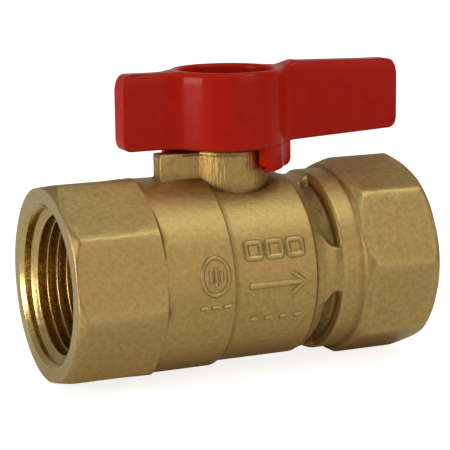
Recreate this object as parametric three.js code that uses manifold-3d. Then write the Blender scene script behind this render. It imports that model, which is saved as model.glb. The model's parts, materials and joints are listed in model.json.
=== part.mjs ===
// A quarter-turn ball valve for 1 inch threaded pipe: forged brass body and end cap, a floating ball
// between two seats, a packed stem, and a die-cast lever with stop tabs.
// Millimetres. The origin is where the pipe axis meets the stem axis, +X runs along the pipe to the
// end cap, +Z runs up the stem. The lever lies along the pipe, so the valve is open.
import * as THREE from "three";
import { mergeVertices } from "three/addons/utils/BufferGeometryUtils.js";
import Module from "manifold-3d";

const wasm = await Module();
wasm.setup();

// ---- Driving dimensions ------------------------------------------------------------------------------
// Clearances
const FIT = 0.1; // between pieces that locate each other
const GAP = 0.3; // between pieces that must never touch
const CUT = 1; // how far a cutting tool runs past the face it opens

// Pipe thread, 1 inch, 11.5 threads an inch, taper 1 in 16 on the diameter
const THREAD_PITCH = 2.209;
const THREAD_ROOT_R = 16.5; // at the port face
const THREAD_DEPTH = 1.77;
const THREAD_TAPER = 1 / 32;
const THREAD_LENGTH = 18.2;
const PORT_CHAMFER = 0.9; // entry chamfer, beyond the thread's root
const PORT_WALL = 3.1; // flat annulus round the port

// Ball and seats
const BALL_R = 16;
const BORE_R = 11;
const SEAT_LIP_DROP = 2; // from the ball's radius in to the edge of the seat's curved face
const SEAT_RIM = 1.5; // from that edge out to the seat's outside
const SEAT_LIP_THICKNESS = 1.5;
const SLOT_FLOOR = 1.6; // metal left between the ball's bore and its slot
const TANG_THICKNESS = 4.8;
const TANG_INSET = 0.7; // inside the stem head, each side

// Body barrel
const CAVITY_CLEARANCE = 1;
const BARREL_WALL = 2.95;
const BARREL_STEP = 0.8; // the threaded end's half of the barrel is this much larger in radius
const BARREL_STEP_X = -7.3;
const BODY_LENGTH = 41.8; // stem axis to port face
const BODY_OCTAGON_LENGTH = 19.4;
const BODY_OCTAGON_TURN = 34.5; // degrees from the front to a corner
const OCTAGON_CORNER = 1.45; // how far the rounded corners stand out beyond the flats
const FACE_CHAMFER = 1.6;

// End cap
const CAP_LENGTH = 41.2; // stem axis to port face
const CAP_OCTAGON_LENGTH = 18.5;
const CAP_OCTAGON_TURN = 48.5;
const CAP_THREAD_WALL = 2.3; // round the seat pocket
const CAP_NOSE_LENGTH = 4.3;
const CAP_SHOULDER_LENGTH = 3.2;
const CAP_GROOVE_LENGTH = 3.1;
const CAP_GROOVE_DEPTH = 2.5;
const CAP_COLLAR_DROP = 0.1; // collar radius below the barrel's
const CAP_PADS = 4;
const CAP_PAD_SPREAD = 30; // degrees
const CAP_PAD_DROP = 0.9; // pad radius below the barrel's
const SEAL_THICKNESS = 0.8;
const SEAL_STEP_WALL = 0.4; // between the stem head's pocket and the step the seal sits on

// Stem, packing and gland
const STEM_R = 4.6;
const STEM_RUNNING_FIT = 0.25; // in the body's bore
const STEM_HEAD_FLANGE = 1.1; // the head's radius beyond the stem's
const STEM_HEAD_THICKNESS = 0.9;
const THRUST_WASHER_THICKNESS = 0.7;
const O_RING_SECTION_R = 0.65;
const O_RING_GROOVE_DEPTH = 1.2;
const O_RING_LAND = 0.35;
const PACKING_SECTION = 1.9; // wall of the packing rings
const PACKING_RING_THICKNESS = 1.2;
const PACKING_RINGS = ["packing_ring_lower", "packing_ring_upper"];
const GLAND_WASHER_THICKNESS = 0.6;
const BOSS_WALL = 2.1; // round the packing
const BOSS_RISE = 6.55; // above the smaller barrel
const GLAND_HEX_OVERHANG = 1; // beyond the packing, each side
const GLAND_HEX_HEIGHT = 3.4;

// Stop lug beside the boss
const LUG_OVERHANG = 4.5; // beyond the lever's hub
const LUG_FRONT_Y = -3.4;
const LUG_BACK_Y = 1.0;
const LUG_CORNER_R = 2;
const LUG_DROP = 0.45; // below the boss top

// Lever
const HUB_HEIGHT = 16.3;
const HUB_LIFT = 0.4; // above the boss
const CUP_WALL = 2.1;
const WEB_THICKNESS = 3.1;
const STEM_FLAT_DEPTH = 1.4;
const FLAT_CLEARANCE = 0.15;
const PLATE_THICKNESS = 5.2;
const PLATE_FILLET_R = 6.2;
const SHORT_ARM = 24.5;
const LONG_ARM = 40.3;
const SHORT_ARM_DROP = 0.2; // below the hub rim
const LONG_ARM_RISE = 1.0; // above the hub rim
const LONG_ARM_TIP_RISE = 1.3; // how much the lower edge climbs to the tip
const ARM_CORNER_R = 2;
const TAB_LENGTH = 5.2;
const TAB_THICKNESS = 3.1;
const TAB_OVERHANG = 1.6; // beyond the hub, into the fillet of the long arm
const TAB_BACK_Y = -1.2;

// Fixings on the stem's threaded top
const STEM_THREAD_STEP = 0.7; // the thread's radius below the stem's
const STEM_END_CHAMFER = 0.65;
const WASHER_RIM = 0.9; // beyond the nut's flats
const WASHER_THICKNESS = 1.1;
const NUT_WALL = 2.5; // from its thread to its flats
const NUT_HEIGHT = 3.6;

// Raised casting marks
const MARK_HEIGHT = 0.35;
const MARK_ROOT = 2; // how deep a mark is rooted in the barrel
const MARK_DOT_PITCH = 4.5;
const MARK_RING_X = -12;
const MARK_RING_R = 3.7;
const MARK_RING_TURN = 8; // degrees above the front
const MARK_STROKE = 0.9;
const MARK_ARROW_X = 2.2;
const MARK_ARROW_LENGTH = 12;
const MARK_ARROW_HEAD = 4.4;
const MARK_DOT_R = 1.5;
const MARK_TURN = -3;
const MARK_ROW = 16; // degrees between rows

// Facets round a circle
const FINE = 48;
const PLAIN = 32;
const SMALL = 24;
const BALL_MERIDIANS = 40;
const BALL_PARALLELS = 24;
const LEVER_CURVE = 10; // segments along each arc of the lever's plan
const CORNER_CURVE = 5;
const MARK_CURVE = 8;
const SEAT_STEPS = 4;
const PAD_STEPS = 6;
const O_RING_FACETS = 8;
const OCTAGON_SIDES = 8;
const HEX_SIDES = 6;

// ---- Places worked out from them ---------------------------------------------------------------------
const portChamferR = THREAD_ROOT_R + PORT_CHAMFER;
const seatLipR = BALL_R - SEAT_LIP_DROP;
const seatOuterR = seatLipR + SEAT_RIM;
const cavityR = BALL_R + CAVITY_CLEARANCE;
const barrelR = cavityR + BARREL_WALL;
const barrelLargeR = barrelR + BARREL_STEP;
const faceR = portChamferR + PORT_WALL;
const flatR = faceR;
const cornerR = flatR + OCTAGON_CORNER;
const seatBallR = BALL_R + FIT;
const seatFrontX = Math.sqrt(seatBallR ** 2 - seatLipR ** 2);
const seatBackX = Math.sqrt(seatBallR ** 2 - BORE_R ** 2) + SEAT_LIP_THICKNESS;
const pocketR = seatOuterR + FIT;
const pocketX = seatBackX + FIT;
const noseR = pocketR + CAP_THREAD_WALL;
const jointBoreR = noseR + GAP;
const stemHeadR = STEM_R + STEM_HEAD_FLANGE;
const headPocketR = stemHeadR + GAP;
const clearOfHeadX = headPocketR + SEAL_STEP_WALL + SEAL_THICKNESS + 2 * FIT;
const clearOfBallX = Math.sqrt((BALL_R + GAP) ** 2 - pocketR ** 2) + GAP;
const noseStartX = Math.max(clearOfHeadX, clearOfBallX);
const jointX = noseStartX + CAP_NOSE_LENGTH;
const sealX = noseStartX - FIT - SEAL_THICKNESS;
const jointStepX = sealX - FIT;
const threadEndX = (length) => length - THREAD_LENGTH;

const stemBoreR = STEM_R + STEM_RUNNING_FIT;
const oRingGrooveR = STEM_R - O_RING_GROOVE_DEPTH;
const packingOuterR = STEM_R + PACKING_SECTION;
const bossR = packingOuterR + BOSS_WALL;
const glandHex = 2 * (packingOuterR + GLAND_HEX_OVERHANG);
const tangWidth = 2 * (stemHeadR - TANG_INSET);
const stemFlatY = STEM_R - STEM_FLAT_DEPTH;
const stemThreadR = STEM_R - STEM_THREAD_STEP;
const nutHex = 2 * (stemThreadR + FIT + NUT_WALL);
const washerOuterR = nutHex / 2 + WASHER_RIM;
const hubR = bossR + 2 * GAP + TAB_THICKNESS;
const cupR = hubR - CUP_WALL;
const lugReach = hubR + LUG_OVERHANG;
const tabReach = hubR + TAB_OVERHANG;

const slotZ = BORE_R + SLOT_FLOOR;
const headZ = BALL_R + GAP;
const thrustZ = headZ + STEM_HEAD_THICKNESS + FIT;
const headPocketZ = thrustZ + THRUST_WASHER_THICKNESS + FIT;
const oRingZ = headPocketZ + O_RING_LAND + O_RING_SECTION_R;
const packingZ = oRingZ + O_RING_SECTION_R + O_RING_LAND;
const packingTopZ = packingZ + PACKING_RINGS.length * (PACKING_RING_THICKNESS + FIT);
const glandNoseZ = packingTopZ + GLAND_WASHER_THICKNESS + FIT;
const bossZ = barrelR + BOSS_RISE;
const glandHexZ = bossZ + GAP;
const glandTopZ = glandHexZ + GLAND_HEX_HEIGHT;
const webZ = glandTopZ + 2 * GAP;
const webTopZ = webZ + WEB_THICKNESS;
const hubZ = bossZ + HUB_LIFT;
const hubTopZ = hubZ + HUB_HEIGHT;
const washerZ = webTopZ + FIT;
const nutZ = washerZ + WASHER_THICKNESS + FIT;
const stemTopZ = nutZ + NUT_HEIGHT - FIT;
const lugTopZ = bossZ - LUG_DROP;
const tabZ = hubZ - TAB_LENGTH;

// ---- Building helpers --------------------------------------------------------------------------------
const radians = THREE.MathUtils.degToRad;

// A closed geometry as a manifold-3d solid; only positions are kept, so that shared corners merge.
function solid(geometry) {
  const bare = geometry.index ? geometry.toNonIndexed() : geometry.clone();
  bare.deleteAttribute("normal");
  bare.deleteAttribute("uv");
  const merged = mergeVertices(bare, 1e-4);
  const mesh = new wasm.Mesh({
    numProp: 3,
    vertProperties: merged.attributes.position.array,
    triVerts: new Uint32Array(merged.index.array),
  });
  return new wasm.Manifold(mesh);
}

// A closed outline of [along, radius] pairs, in the order that makes a lathe's faces point outwards.
function latheOutline(pairs) {
  let area = 0;
  pairs.forEach(([a, r], i) => {
    const [b, s] = pairs[(i + 1) % pairs.length];
    area += a * s - b * r;
  });
  const ordered = area > 0 ? [...pairs].reverse() : pairs;
  const points = ordered.map(([along, radius]) => new THREE.Vector2(radius, along));
  return [...points, points[0].clone()];
}

// Solids of revolution about the pipe axis and about the stem axis.
function turnedAlongX(pairs, segments = FINE) {
  return solid(new THREE.LatheGeometry(latheOutline(pairs), segments).rotateZ(-Math.PI / 2));
}

function turnedAlongZ(pairs, segments = PLAIN) {
  return solid(new THREE.LatheGeometry(latheOutline(pairs), segments).rotateX(Math.PI / 2));
}

function discAlongZ(radius, low, high, segments = PLAIN) {
  return turnedAlongZ([[low, 0], [low, radius], [high, radius], [high, 0]], segments);
}

function ringAlongZ(inner, outer, low, high, segments = PLAIN) {
  return turnedAlongZ([[low, inner], [low, outer], [high, outer], [high, inner]], segments);
}

function box(x0, x1, y0, y1, z0, z1) {
  const geometry = new THREE.BoxGeometry(x1 - x0, y1 - y0, z1 - z0);
  return solid(geometry.translate((x0 + x1) / 2, (y0 + y1) / 2, (z0 + z1) / 2));
}

function prismAlongZ(shape, low, high, curveSegments = CORNER_CURVE) {
  const options = { depth: high - low, bevelEnabled: false, curveSegments };
  return solid(new THREE.ExtrudeGeometry(shape, options).translate(0, 0, low));
}

// A polygon prism along X; its corners are counted from the front, -Y, upwards.
function octagonAlongX(across, turn, x0, x1) {
  const corner = across / Math.cos(Math.PI / OCTAGON_SIDES);
  const shape = new THREE.Shape();
  for (let i = 0; i < OCTAGON_SIDES; i += 1) {
    const angle = radians(turn) + (i * 2 * Math.PI) / OCTAGON_SIDES;
    const point = [-corner * Math.sin(angle), -corner * Math.cos(angle)];
    if (i) shape.lineTo(...point);
    else shape.moveTo(...point);
  }
  const options = { depth: x1 - x0, bevelEnabled: false };
  const geometry = new THREE.ExtrudeGeometry(shape, options).rotateY(Math.PI / 2);
  return solid(geometry.translate(x0, 0, 0));
}

const hexCornerR = (across) => across / 2 / Math.cos(Math.PI / HEX_SIDES);

function hexAlongZ(across, low, high) {
  const corner = hexCornerR(across);
  const shape = new THREE.Shape();
  for (let i = 0; i < HEX_SIDES; i += 1) {
    const angle = (i * 2 * Math.PI) / HEX_SIDES;
    const point = [corner * Math.cos(angle), corner * Math.sin(angle)];
    if (i) shape.lineTo(...point);
    else shape.moveTo(...point);
  }
  return prismAlongZ(shape, low, high);
}

// Chamfers both ends of a hexagon by meeting it with a turned blank.
function chamferedHex(across, low, high) {
  const corner = hexCornerR(across);
  const cut = corner - across / 2;
  const blank = turnedAlongZ([
    [low, 0],
    [low, across / 2],
    [low + cut, corner],
    [high - cut, corner],
    [high, across / 2],
    [high, 0],
  ]);
  return hexAlongZ(across, low, high).intersect(blank);
}

const all = (first, ...rest) => rest.reduce((sum, piece) => sum.add(piece), first);
const cut = (blank, ...tools) => tools.reduce((left, tool) => left.subtract(tool), blank);

// ---- The threaded port -------------------------------------------------------------------------------
// The cutting tool for one port, its face at x = length on the +X side: an entry chamfer, a tapered
// row of V grooves at the thread's pitch, and a drill point down to the bore.
function portTool(length) {
  const pairs = [
    [length + CUT, 0],
    [length + CUT, portChamferR],
    [length, portChamferR],
  ];
  const crest = (depth) => THREAD_ROOT_R - THREAD_DEPTH - depth * THREAD_TAPER;
  const root = (depth) => THREAD_ROOT_R - depth * THREAD_TAPER;
  const start = portChamferR - THREAD_ROOT_R;
  for (let depth = start; depth < THREAD_LENGTH - THREAD_PITCH; depth += THREAD_PITCH) {
    pairs.push([length - depth, root(depth)]);
    pairs.push([length - depth - THREAD_PITCH / 2, crest(depth)]);
  }
  const end = threadEndX(length);
  pairs.push([end, crest(THREAD_LENGTH)]);
  pairs.push([end - (crest(THREAD_LENGTH) - BORE_R) / 2, BORE_R]);
  pairs.push([pocketX - CUT, BORE_R]);
  pairs.push([pocketX - CUT, 0]);
  return pairs;
}

const mirrored = (pairs) => pairs.map(([x, r]) => [-x, r]);

// ---- Body --------------------------------------------------------------------------------------------
function bodyShell() {
  const octagonEndX = -BODY_LENGTH + BODY_OCTAGON_LENGTH;
  const envelope = turnedAlongX([
    [-BODY_LENGTH, 0],
    [-BODY_LENGTH, faceR],
    [-BODY_LENGTH + FACE_CHAMFER, cornerR],
    [octagonEndX - OCTAGON_CORNER / 2, cornerR],
    [octagonEndX, faceR],
    [octagonEndX, 0],
  ]);
  const octagon = octagonAlongX(flatR, BODY_OCTAGON_TURN, -BODY_LENGTH, octagonEndX);
  const barrel = turnedAlongX([
    [octagonEndX - CUT, 0],
    [octagonEndX - CUT, Math.min(flatR, barrelLargeR)],
    [octagonEndX, barrelLargeR],
    [BARREL_STEP_X - BARREL_STEP / 2, barrelLargeR],
    [BARREL_STEP_X, barrelR],
    [jointX - FIT, barrelR],
    [jointX - FIT, 0],
  ]);
  return octagon.intersect(envelope).add(barrel);
}

// The round boss with the rectangular stop lug that runs from it over the barrel.
function bossAndLug() {
  const lug = new THREE.Shape();
  lug.moveTo(0, LUG_BACK_Y);
  lug.lineTo(-lugReach + LUG_CORNER_R, LUG_BACK_Y);
  const corner = [-lugReach + LUG_CORNER_R, LUG_BACK_Y - LUG_CORNER_R];
  lug.absarc(...corner, LUG_CORNER_R, Math.PI / 2, Math.PI, false);
  lug.lineTo(-lugReach, LUG_FRONT_Y);
  lug.lineTo(0, LUG_FRONT_Y);
  const rootZ = cavityR + BARREL_WALL / 2;
  return discAlongZ(bossR, rootZ, bossZ).add(prismAlongZ(lug, rootZ, lugTopZ));
}

// Everything that is bored from the pipe axis: port, seat pocket, ball cavity and cap thread.
function bodyBores() {
  const port = turnedAlongX(mirrored(portTool(BODY_LENGTH)));
  const inside = turnedAlongX([
    [-pocketX, 0],
    [-pocketX, pocketR],
    [-seatFrontX, pocketR],
    [-seatFrontX, cavityR],
    [jointStepX, cavityR],
    [jointStepX, jointBoreR],
    [jointX + CUT, jointBoreR],
    [jointX + CUT, 0],
  ]);
  return port.add(inside);
}

// The stem hole: head pocket below, running bore, then the packing chamber open at the top.
function stemHole() {
  return turnedAlongZ([
    [BORE_R, 0],
    [BORE_R, headPocketR],
    [headPocketZ, headPocketR],
    [headPocketZ, stemBoreR],
    [packingZ - FIT, stemBoreR],
    [packingZ - FIT, packingOuterR + FIT],
    [bossZ + CUT, packingOuterR + FIT],
    [bossZ + CUT, 0],
  ]);
}

// A raised mark: a flat outline carried radially onto a barrel of radius r, turned up by an angle.
function raisedMark(shape, x, turn, r) {
  const reach = { depth: MARK_ROOT + CUT, bevelEnabled: false, curveSegments: MARK_CURVE };
  const geometry = new THREE.ExtrudeGeometry(shape, reach)
    .rotateX(Math.PI / 2)
    .translate(x, -r + MARK_ROOT, 0)
    .rotateX(-radians(turn));
  const skin = turnedAlongX([
    [-BODY_LENGTH, 0],
    [-BODY_LENGTH, r + MARK_HEIGHT],
    [jointX - CUT, r + MARK_HEIGHT],
    [jointX - CUT, 0],
  ]);
  return solid(geometry).intersect(skin);
}

function ringShape(outer, stroke) {
  const shape = new THREE.Shape().absarc(0, 0, outer, 0, Math.PI * 2, false);
  shape.holes.push(new THREE.Path().absarc(0, 0, outer - stroke, 0, Math.PI * 2, true));
  return shape;
}

function arrowShape() {
  const half = MARK_ARROW_LENGTH / 2;
  const neck = half - MARK_ARROW_HEAD;
  const shape = new THREE.Shape();
  shape.moveTo(-half, -MARK_STROKE / 2);
  shape.lineTo(neck, -MARK_STROKE / 2);
  shape.lineTo(neck, -MARK_ARROW_HEAD / 2);
  shape.lineTo(half, 0);
  shape.lineTo(neck, MARK_ARROW_HEAD / 2);
  shape.lineTo(neck, MARK_STROKE / 2);
  shape.lineTo(-half, MARK_STROKE / 2);
  return shape;
}

function bodyMarks() {
  const ring = raisedMark(ringShape(MARK_RING_R, MARK_STROKE), MARK_RING_X, MARK_RING_TURN, barrelLargeR);
  const arrow = raisedMark(arrowShape(), MARK_ARROW_X, MARK_TURN, barrelR);
  const dots = [-1, 0, 1].map((place) => {
    const x = MARK_ARROW_X + place * MARK_DOT_PITCH;
    return raisedMark(ringShape(MARK_DOT_R, MARK_STROKE), x, MARK_TURN + MARK_ROW, barrelR);
  });
  return [ring, arrow, ...dots];
}

function makeBody() {
  const blank = all(bodyShell(), bossAndLug(), ...bodyMarks());
  return cut(blank, bodyBores(), stemHole());
}

// ---- End cap -----------------------------------------------------------------------------------------
function capShell() {
  const shoulderX = jointX + CAP_SHOULDER_LENGTH;
  const collarX = shoulderX + CAP_GROOVE_LENGTH;
  const collarR = barrelR - CAP_COLLAR_DROP;
  const grooveR = barrelR - CAP_GROOVE_DEPTH;
  const octagonX = CAP_LENGTH - CAP_OCTAGON_LENGTH;
  const neck = turnedAlongX([
    [noseStartX, 0],
    [noseStartX, noseR],
    [jointX, noseR],
    [jointX, barrelR - FIT],
    [shoulderX, (barrelR + grooveR) / 2],
    [shoulderX, grooveR],
    [collarX, grooveR],
    [collarX, collarR],
    [octagonX + CUT, collarR],
    [octagonX + CUT, 0],
  ]);
  const envelope = turnedAlongX([
    [octagonX, 0],
    [octagonX, collarR],
    [octagonX + 2 * OCTAGON_CORNER, cornerR],
    [CAP_LENGTH - FACE_CHAMFER, cornerR],
    [CAP_LENGTH, faceR],
    [CAP_LENGTH, 0],
  ]);
  const octagon = octagonAlongX(flatR, CAP_OCTAGON_TURN, octagonX, CAP_LENGTH);
  return neck.add(octagon.intersect(envelope));
}

// The lands that bridge the groove, one in line with every other corner of the octagon.
function capPads() {
  const padR = barrelR - CAP_PAD_DROP;
  const padLength = CAP_SHOULDER_LENGTH + CAP_GROOVE_LENGTH + CUT;
  return Array.from({ length: CAP_PADS }, (_, k) => {
    const middle = CAP_OCTAGON_TURN + 360 / OCTAGON_SIDES + (k * 360) / CAP_PADS;
    const shape = new THREE.Shape();
    shape.moveTo(0, 0);
    for (let i = 0; i <= PAD_STEPS; i += 1) {
      const angle = radians(middle + CAP_PAD_SPREAD * (i / PAD_STEPS - 0.5));
      shape.lineTo(-padR * Math.sin(angle), -padR * Math.cos(angle));
    }
    const options = { depth: padLength, bevelEnabled: false };
    return solid(
      new THREE.ExtrudeGeometry(shape, options).rotateY(Math.PI / 2).translate(jointX, 0, 0),
    );
  });
}

function makeEndCap() {
  const inside = turnedAlongX([
    [noseStartX - CUT, 0],
    [noseStartX - CUT, pocketR],
    [pocketX, pocketR],
    [pocketX, 0],
  ]);
  const port = turnedAlongX(portTool(CAP_LENGTH));
  return cut(all(capShell(), ...capPads()), inside, port);
}

// ---- Ball, seats and joint seal ----------------------------------------------------------------------
function makeBall() {
  const globe = new THREE.SphereGeometry(BALL_R, BALL_MERIDIANS, BALL_PARALLELS);
  const sphere = solid(globe.rotateZ(Math.PI / 2));
  const reach = BALL_R + CUT;
  const bore = turnedAlongX([[-reach, 0], [-reach, BORE_R], [reach, BORE_R], [reach, 0]]);
  const half = TANG_THICKNESS / 2 + GAP;
  const slot = box(-half, half, -reach, reach, slotZ, reach);
  return cut(sphere, bore, slot);
}

// The seat's curved face follows the ball in a few steps from its bore to its lip.
function seatPairs() {
  const pairs = [];
  for (let i = 0; i <= SEAT_STEPS; i += 1) {
    const r = BORE_R + ((seatLipR - BORE_R) * i) / SEAT_STEPS;
    pairs.push([Math.sqrt((seatBallR + FIT) ** 2 - r ** 2) + FIT, r]);
  }
  pairs.push([pairs[SEAT_STEPS][0], seatOuterR]);
  pairs.push([seatBackX, seatOuterR]);
  pairs.push([seatBackX, BORE_R]);
  return pairs;
}

const makeCapSeat = () => turnedAlongX(seatPairs(), PLAIN);
const makeBodySeat = () => turnedAlongX(mirrored(seatPairs()), PLAIN);

function makeCapSeal() {
  const inner = cavityR + FIT;
  const outer = jointBoreR - FIT;
  const end = sealX + SEAL_THICKNESS;
  return turnedAlongX([[sealX, inner], [sealX, outer], [end, outer], [end, inner]], PLAIN);
}

// ---- Stem train --------------------------------------------------------------------------------------
function makeStem() {
  const shaft = turnedAlongZ([
    [headZ, 0],
    [headZ, stemHeadR],
    [headZ + STEM_HEAD_THICKNESS, stemHeadR],
    [headZ + STEM_HEAD_THICKNESS, STEM_R],
    [oRingZ - O_RING_SECTION_R - FIT, STEM_R],
    [oRingZ - O_RING_SECTION_R - FIT, oRingGrooveR],
    [oRingZ + O_RING_SECTION_R + FIT, oRingGrooveR],
    [oRingZ + O_RING_SECTION_R + FIT, STEM_R],
    [webTopZ, STEM_R],
    [webTopZ, stemThreadR],
    [stemTopZ - STEM_END_CHAMFER, stemThreadR],
    [stemTopZ, stemThreadR - STEM_END_CHAMFER],
    [stemTopZ, 0],
  ]);
  const flat = (side) => {
    const [y0, y1] = [side * stemFlatY, side * (STEM_R + CUT)].sort((a, b) => a - b);
    return box(-STEM_R - CUT, STEM_R + CUT, y0, y1, webZ - FIT, webTopZ + FIT);
  };
  const tangHalf = [TANG_THICKNESS / 2, tangWidth / 2];
  const tang = box(-tangHalf[0], tangHalf[0], -tangHalf[1], tangHalf[1], slotZ + GAP, headZ + FIT);
  return cut(shaft, flat(-1), flat(1)).add(tang);
}

const makeThrustWasher = () =>
  ringAlongZ(STEM_R + FIT, stemHeadR + FIT, thrustZ, thrustZ + THRUST_WASHER_THICKNESS);

function makeORing() {
  const centre = (oRingGrooveR + stemBoreR) / 2;
  const ring = new THREE.TorusGeometry(centre, O_RING_SECTION_R, O_RING_FACETS, SMALL);
  return solid(ring.translate(0, 0, oRingZ));
}

function makePackingRing(index) {
  const low = packingZ + index * (PACKING_RING_THICKNESS + FIT);
  return ringAlongZ(STEM_R + FIT, packingOuterR, low, low + PACKING_RING_THICKNESS);
}

const makeGlandWasher = () =>
  ringAlongZ(STEM_R + 2 * FIT, packingOuterR, packingTopZ, packingTopZ + GLAND_WASHER_THICKNESS);

function makeGlandNut() {
  const sleeve = discAlongZ(packingOuterR - FIT, glandNoseZ, glandHexZ + FIT);
  const bore = discAlongZ(STEM_R + 2 * FIT, glandNoseZ - CUT, glandTopZ + CUT);
  return cut(sleeve.add(chamferedHex(glandHex, glandHexZ, glandTopZ)), bore);
}

// ---- Lever -------------------------------------------------------------------------------------------
// Plan of the lever: a round hub with a plate each way, joined by concave fillets.
function leverPlan() {
  const half = PLATE_THICKNESS / 2;
  const centreY = half + PLATE_FILLET_R;
  const centreX = Math.sqrt((hubR + PLATE_FILLET_R) ** 2 - centreY ** 2);
  const lean = Math.atan2(centreY, centreX);
  const arm = { right: LONG_ARM, left: -SHORT_ARM };
  const shape = new THREE.Shape();
  shape.moveTo(arm.right, -half);
  shape.lineTo(arm.right, half);
  shape.lineTo(centreX, half);
  shape.absarc(centreX, centreY, PLATE_FILLET_R, -Math.PI / 2, lean - Math.PI, true);
  shape.absarc(0, 0, hubR, lean, Math.PI - lean, false);
  shape.absarc(-centreX, centreY, PLATE_FILLET_R, -lean, -Math.PI / 2, true);
  shape.lineTo(arm.left, half);
  shape.lineTo(arm.left, -half);
  shape.lineTo(-centreX, -half);
  shape.absarc(-centreX, -centreY, PLATE_FILLET_R, Math.PI / 2, lean, true);
  shape.absarc(0, 0, hubR, lean - Math.PI, -lean, false);
  shape.absarc(centreX, -centreY, PLATE_FILLET_R, Math.PI - lean, Math.PI / 2, true);
  return shape;
}

// Side view of the lever, X across and Z up: rounded ends, a low short arm and a raised long arm.
function leverSide() {
  const c = ARM_CORNER_R;
  const shape = new THREE.Shape();
  shape.moveTo(-SHORT_ARM + c, hubZ);
  shape.lineTo(hubR, hubZ);
  shape.lineTo(LONG_ARM - c / 2, hubZ + LONG_ARM_TIP_RISE);
  shape.quadraticCurveTo(LONG_ARM, hubZ + LONG_ARM_TIP_RISE, LONG_ARM, hubZ + LONG_ARM_TIP_RISE + c / 2);
  shape.lineTo(LONG_ARM, hubTopZ + LONG_ARM_RISE - c);
  shape.quadraticCurveTo(LONG_ARM, hubTopZ + LONG_ARM_RISE, LONG_ARM - c, hubTopZ + LONG_ARM_RISE);
  shape.lineTo(hubR + c, hubTopZ + LONG_ARM_RISE);
  shape.lineTo(hubR, hubTopZ);
  shape.lineTo(-hubR, hubTopZ);
  shape.lineTo(-SHORT_ARM + c, hubTopZ - SHORT_ARM_DROP);
  shape.quadraticCurveTo(-SHORT_ARM, hubTopZ - SHORT_ARM_DROP, -SHORT_ARM, hubTopZ - SHORT_ARM_DROP - c);
  shape.lineTo(-SHORT_ARM, hubZ + c);
  shape.quadraticCurveTo(-SHORT_ARM, hubZ, -SHORT_ARM + c, hubZ);
  const options = { depth: 2 * (hubR + CUT), bevelEnabled: false, curveSegments: CORNER_CURVE };
  return solid(
    new THREE.ExtrudeGeometry(shape, options).rotateX(Math.PI / 2).translate(0, hubR + CUT, 0),
  );
}

// The tabs hang from the hub and meet the stop lug's two sides: one when open, one when shut.
function leverTabs() {
  const curtain = prismAlongZ(leverPlan(), tabZ, hubZ + CUT, LEVER_CURVE);
  const room = discAlongZ(bossR + 2 * GAP, tabZ - CUT, hubZ + 2 * CUT);
  const ring = curtain.subtract(room);
  const shut = box(-LUG_FRONT_Y + FIT, tabReach, -hubR - CUT, TAB_BACK_Y, tabZ, hubZ + CUT);
  const open = box(-tabReach, -bossR / 2, LUG_BACK_Y + FIT, bossR, tabZ, hubZ + CUT);
  return ring.intersect(shut.add(open));
}

function stemHoleInLever() {
  const round = discAlongZ(STEM_R + FLAT_CLEARANCE, webZ - CUT, webTopZ + CUT);
  const reach = STEM_R + CUT;
  const half = stemFlatY + FLAT_CLEARANCE;
  return round.intersect(box(-reach, reach, -half, half, webZ - CUT, webTopZ + CUT));
}

function makeLever() {
  const highZ = hubTopZ + LONG_ARM_RISE;
  const blank = prismAlongZ(leverPlan(), hubZ, highZ, LEVER_CURVE).intersect(leverSide());
  const cup = discAlongZ(cupR, webTopZ, highZ + CUT);
  const recess = discAlongZ(cupR, hubZ - CUT, webZ);
  return cut(blank, cup, recess, stemHoleInLever()).add(leverTabs());
}

const makeLeverWasher = () =>
  ringAlongZ(stemThreadR + FIT, washerOuterR, washerZ, washerZ + WASHER_THICKNESS);

function makeLeverNut() {
  const bore = discAlongZ(stemThreadR + FIT, nutZ - CUT, nutZ + NUT_HEIGHT + CUT, SMALL);
  return cut(chamferedHex(nutHex, nutZ, nutZ + NUT_HEIGHT), bore);
}

// ---- Materials ---------------------------------------------------------------------------------------
const finish = (color, roughness, metalness) =>
  new THREE.MeshStandardMaterial({ color, roughness, metalness });

const forgedBrass = finish(0xa4834a, 0.42, 1);
const turnedBrass = finish(0xb8975a, 0.28, 1);
const chromedBrass = finish(0xc8cacc, 0.12, 1);
const redEnamel = finish(0x951c02, 0.25, 0);
const whitePtfe = finish(0xe9e7e0, 0.55, 0);
const blackRubber = finish(0x1c1c1c, 0.7, 0);
const zincSteel = finish(0xb5b7b5, 0.35, 1);

// ---- Assembly ----------------------------------------------------------------------------------------
function piece(name, made, material) {
  const { numProp, vertProperties, triVerts } = made.getMesh();
  const geometry = new THREE.BufferGeometry();
  const positions = new Float32Array((vertProperties.length / numProp) * 3);
  for (let i = 0; i < positions.length / 3; i += 1) {
    positions.set(vertProperties.subarray(i * numProp, i * numProp + 3), i * 3);
  }
  geometry.setAttribute("position", new THREE.BufferAttribute(positions, 3));
  geometry.setIndex(new THREE.BufferAttribute(triVerts, 1));
  const mesh = new THREE.Mesh(geometry, material);
  mesh.name = name;
  return mesh;
}

function group(name, ...meshes) {
  const made = new THREE.Group();
  made.name = name;
  made.add(...meshes);
  return made;
}

const pressureShell = group(
  "pressure_shell",
  piece("body", makeBody(), forgedBrass),
  piece("end_cap", makeEndCap(), forgedBrass),
  piece("cap_seal", makeCapSeal(), whitePtfe),
  piece("body_seat", makeBodySeat(), whitePtfe),
  piece("cap_seat", makeCapSeat(), whitePtfe),
);

const packingGland = group(
  "packing_gland",
  piece("thrust_washer", makeThrustWasher(), whitePtfe),
  ...PACKING_RINGS.map((name, i) => piece(name, makePackingRing(i), whitePtfe)),
  piece("gland_washer", makeGlandWasher(), turnedBrass),
  piece("gland_nut", makeGlandNut(), turnedBrass),
);

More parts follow.
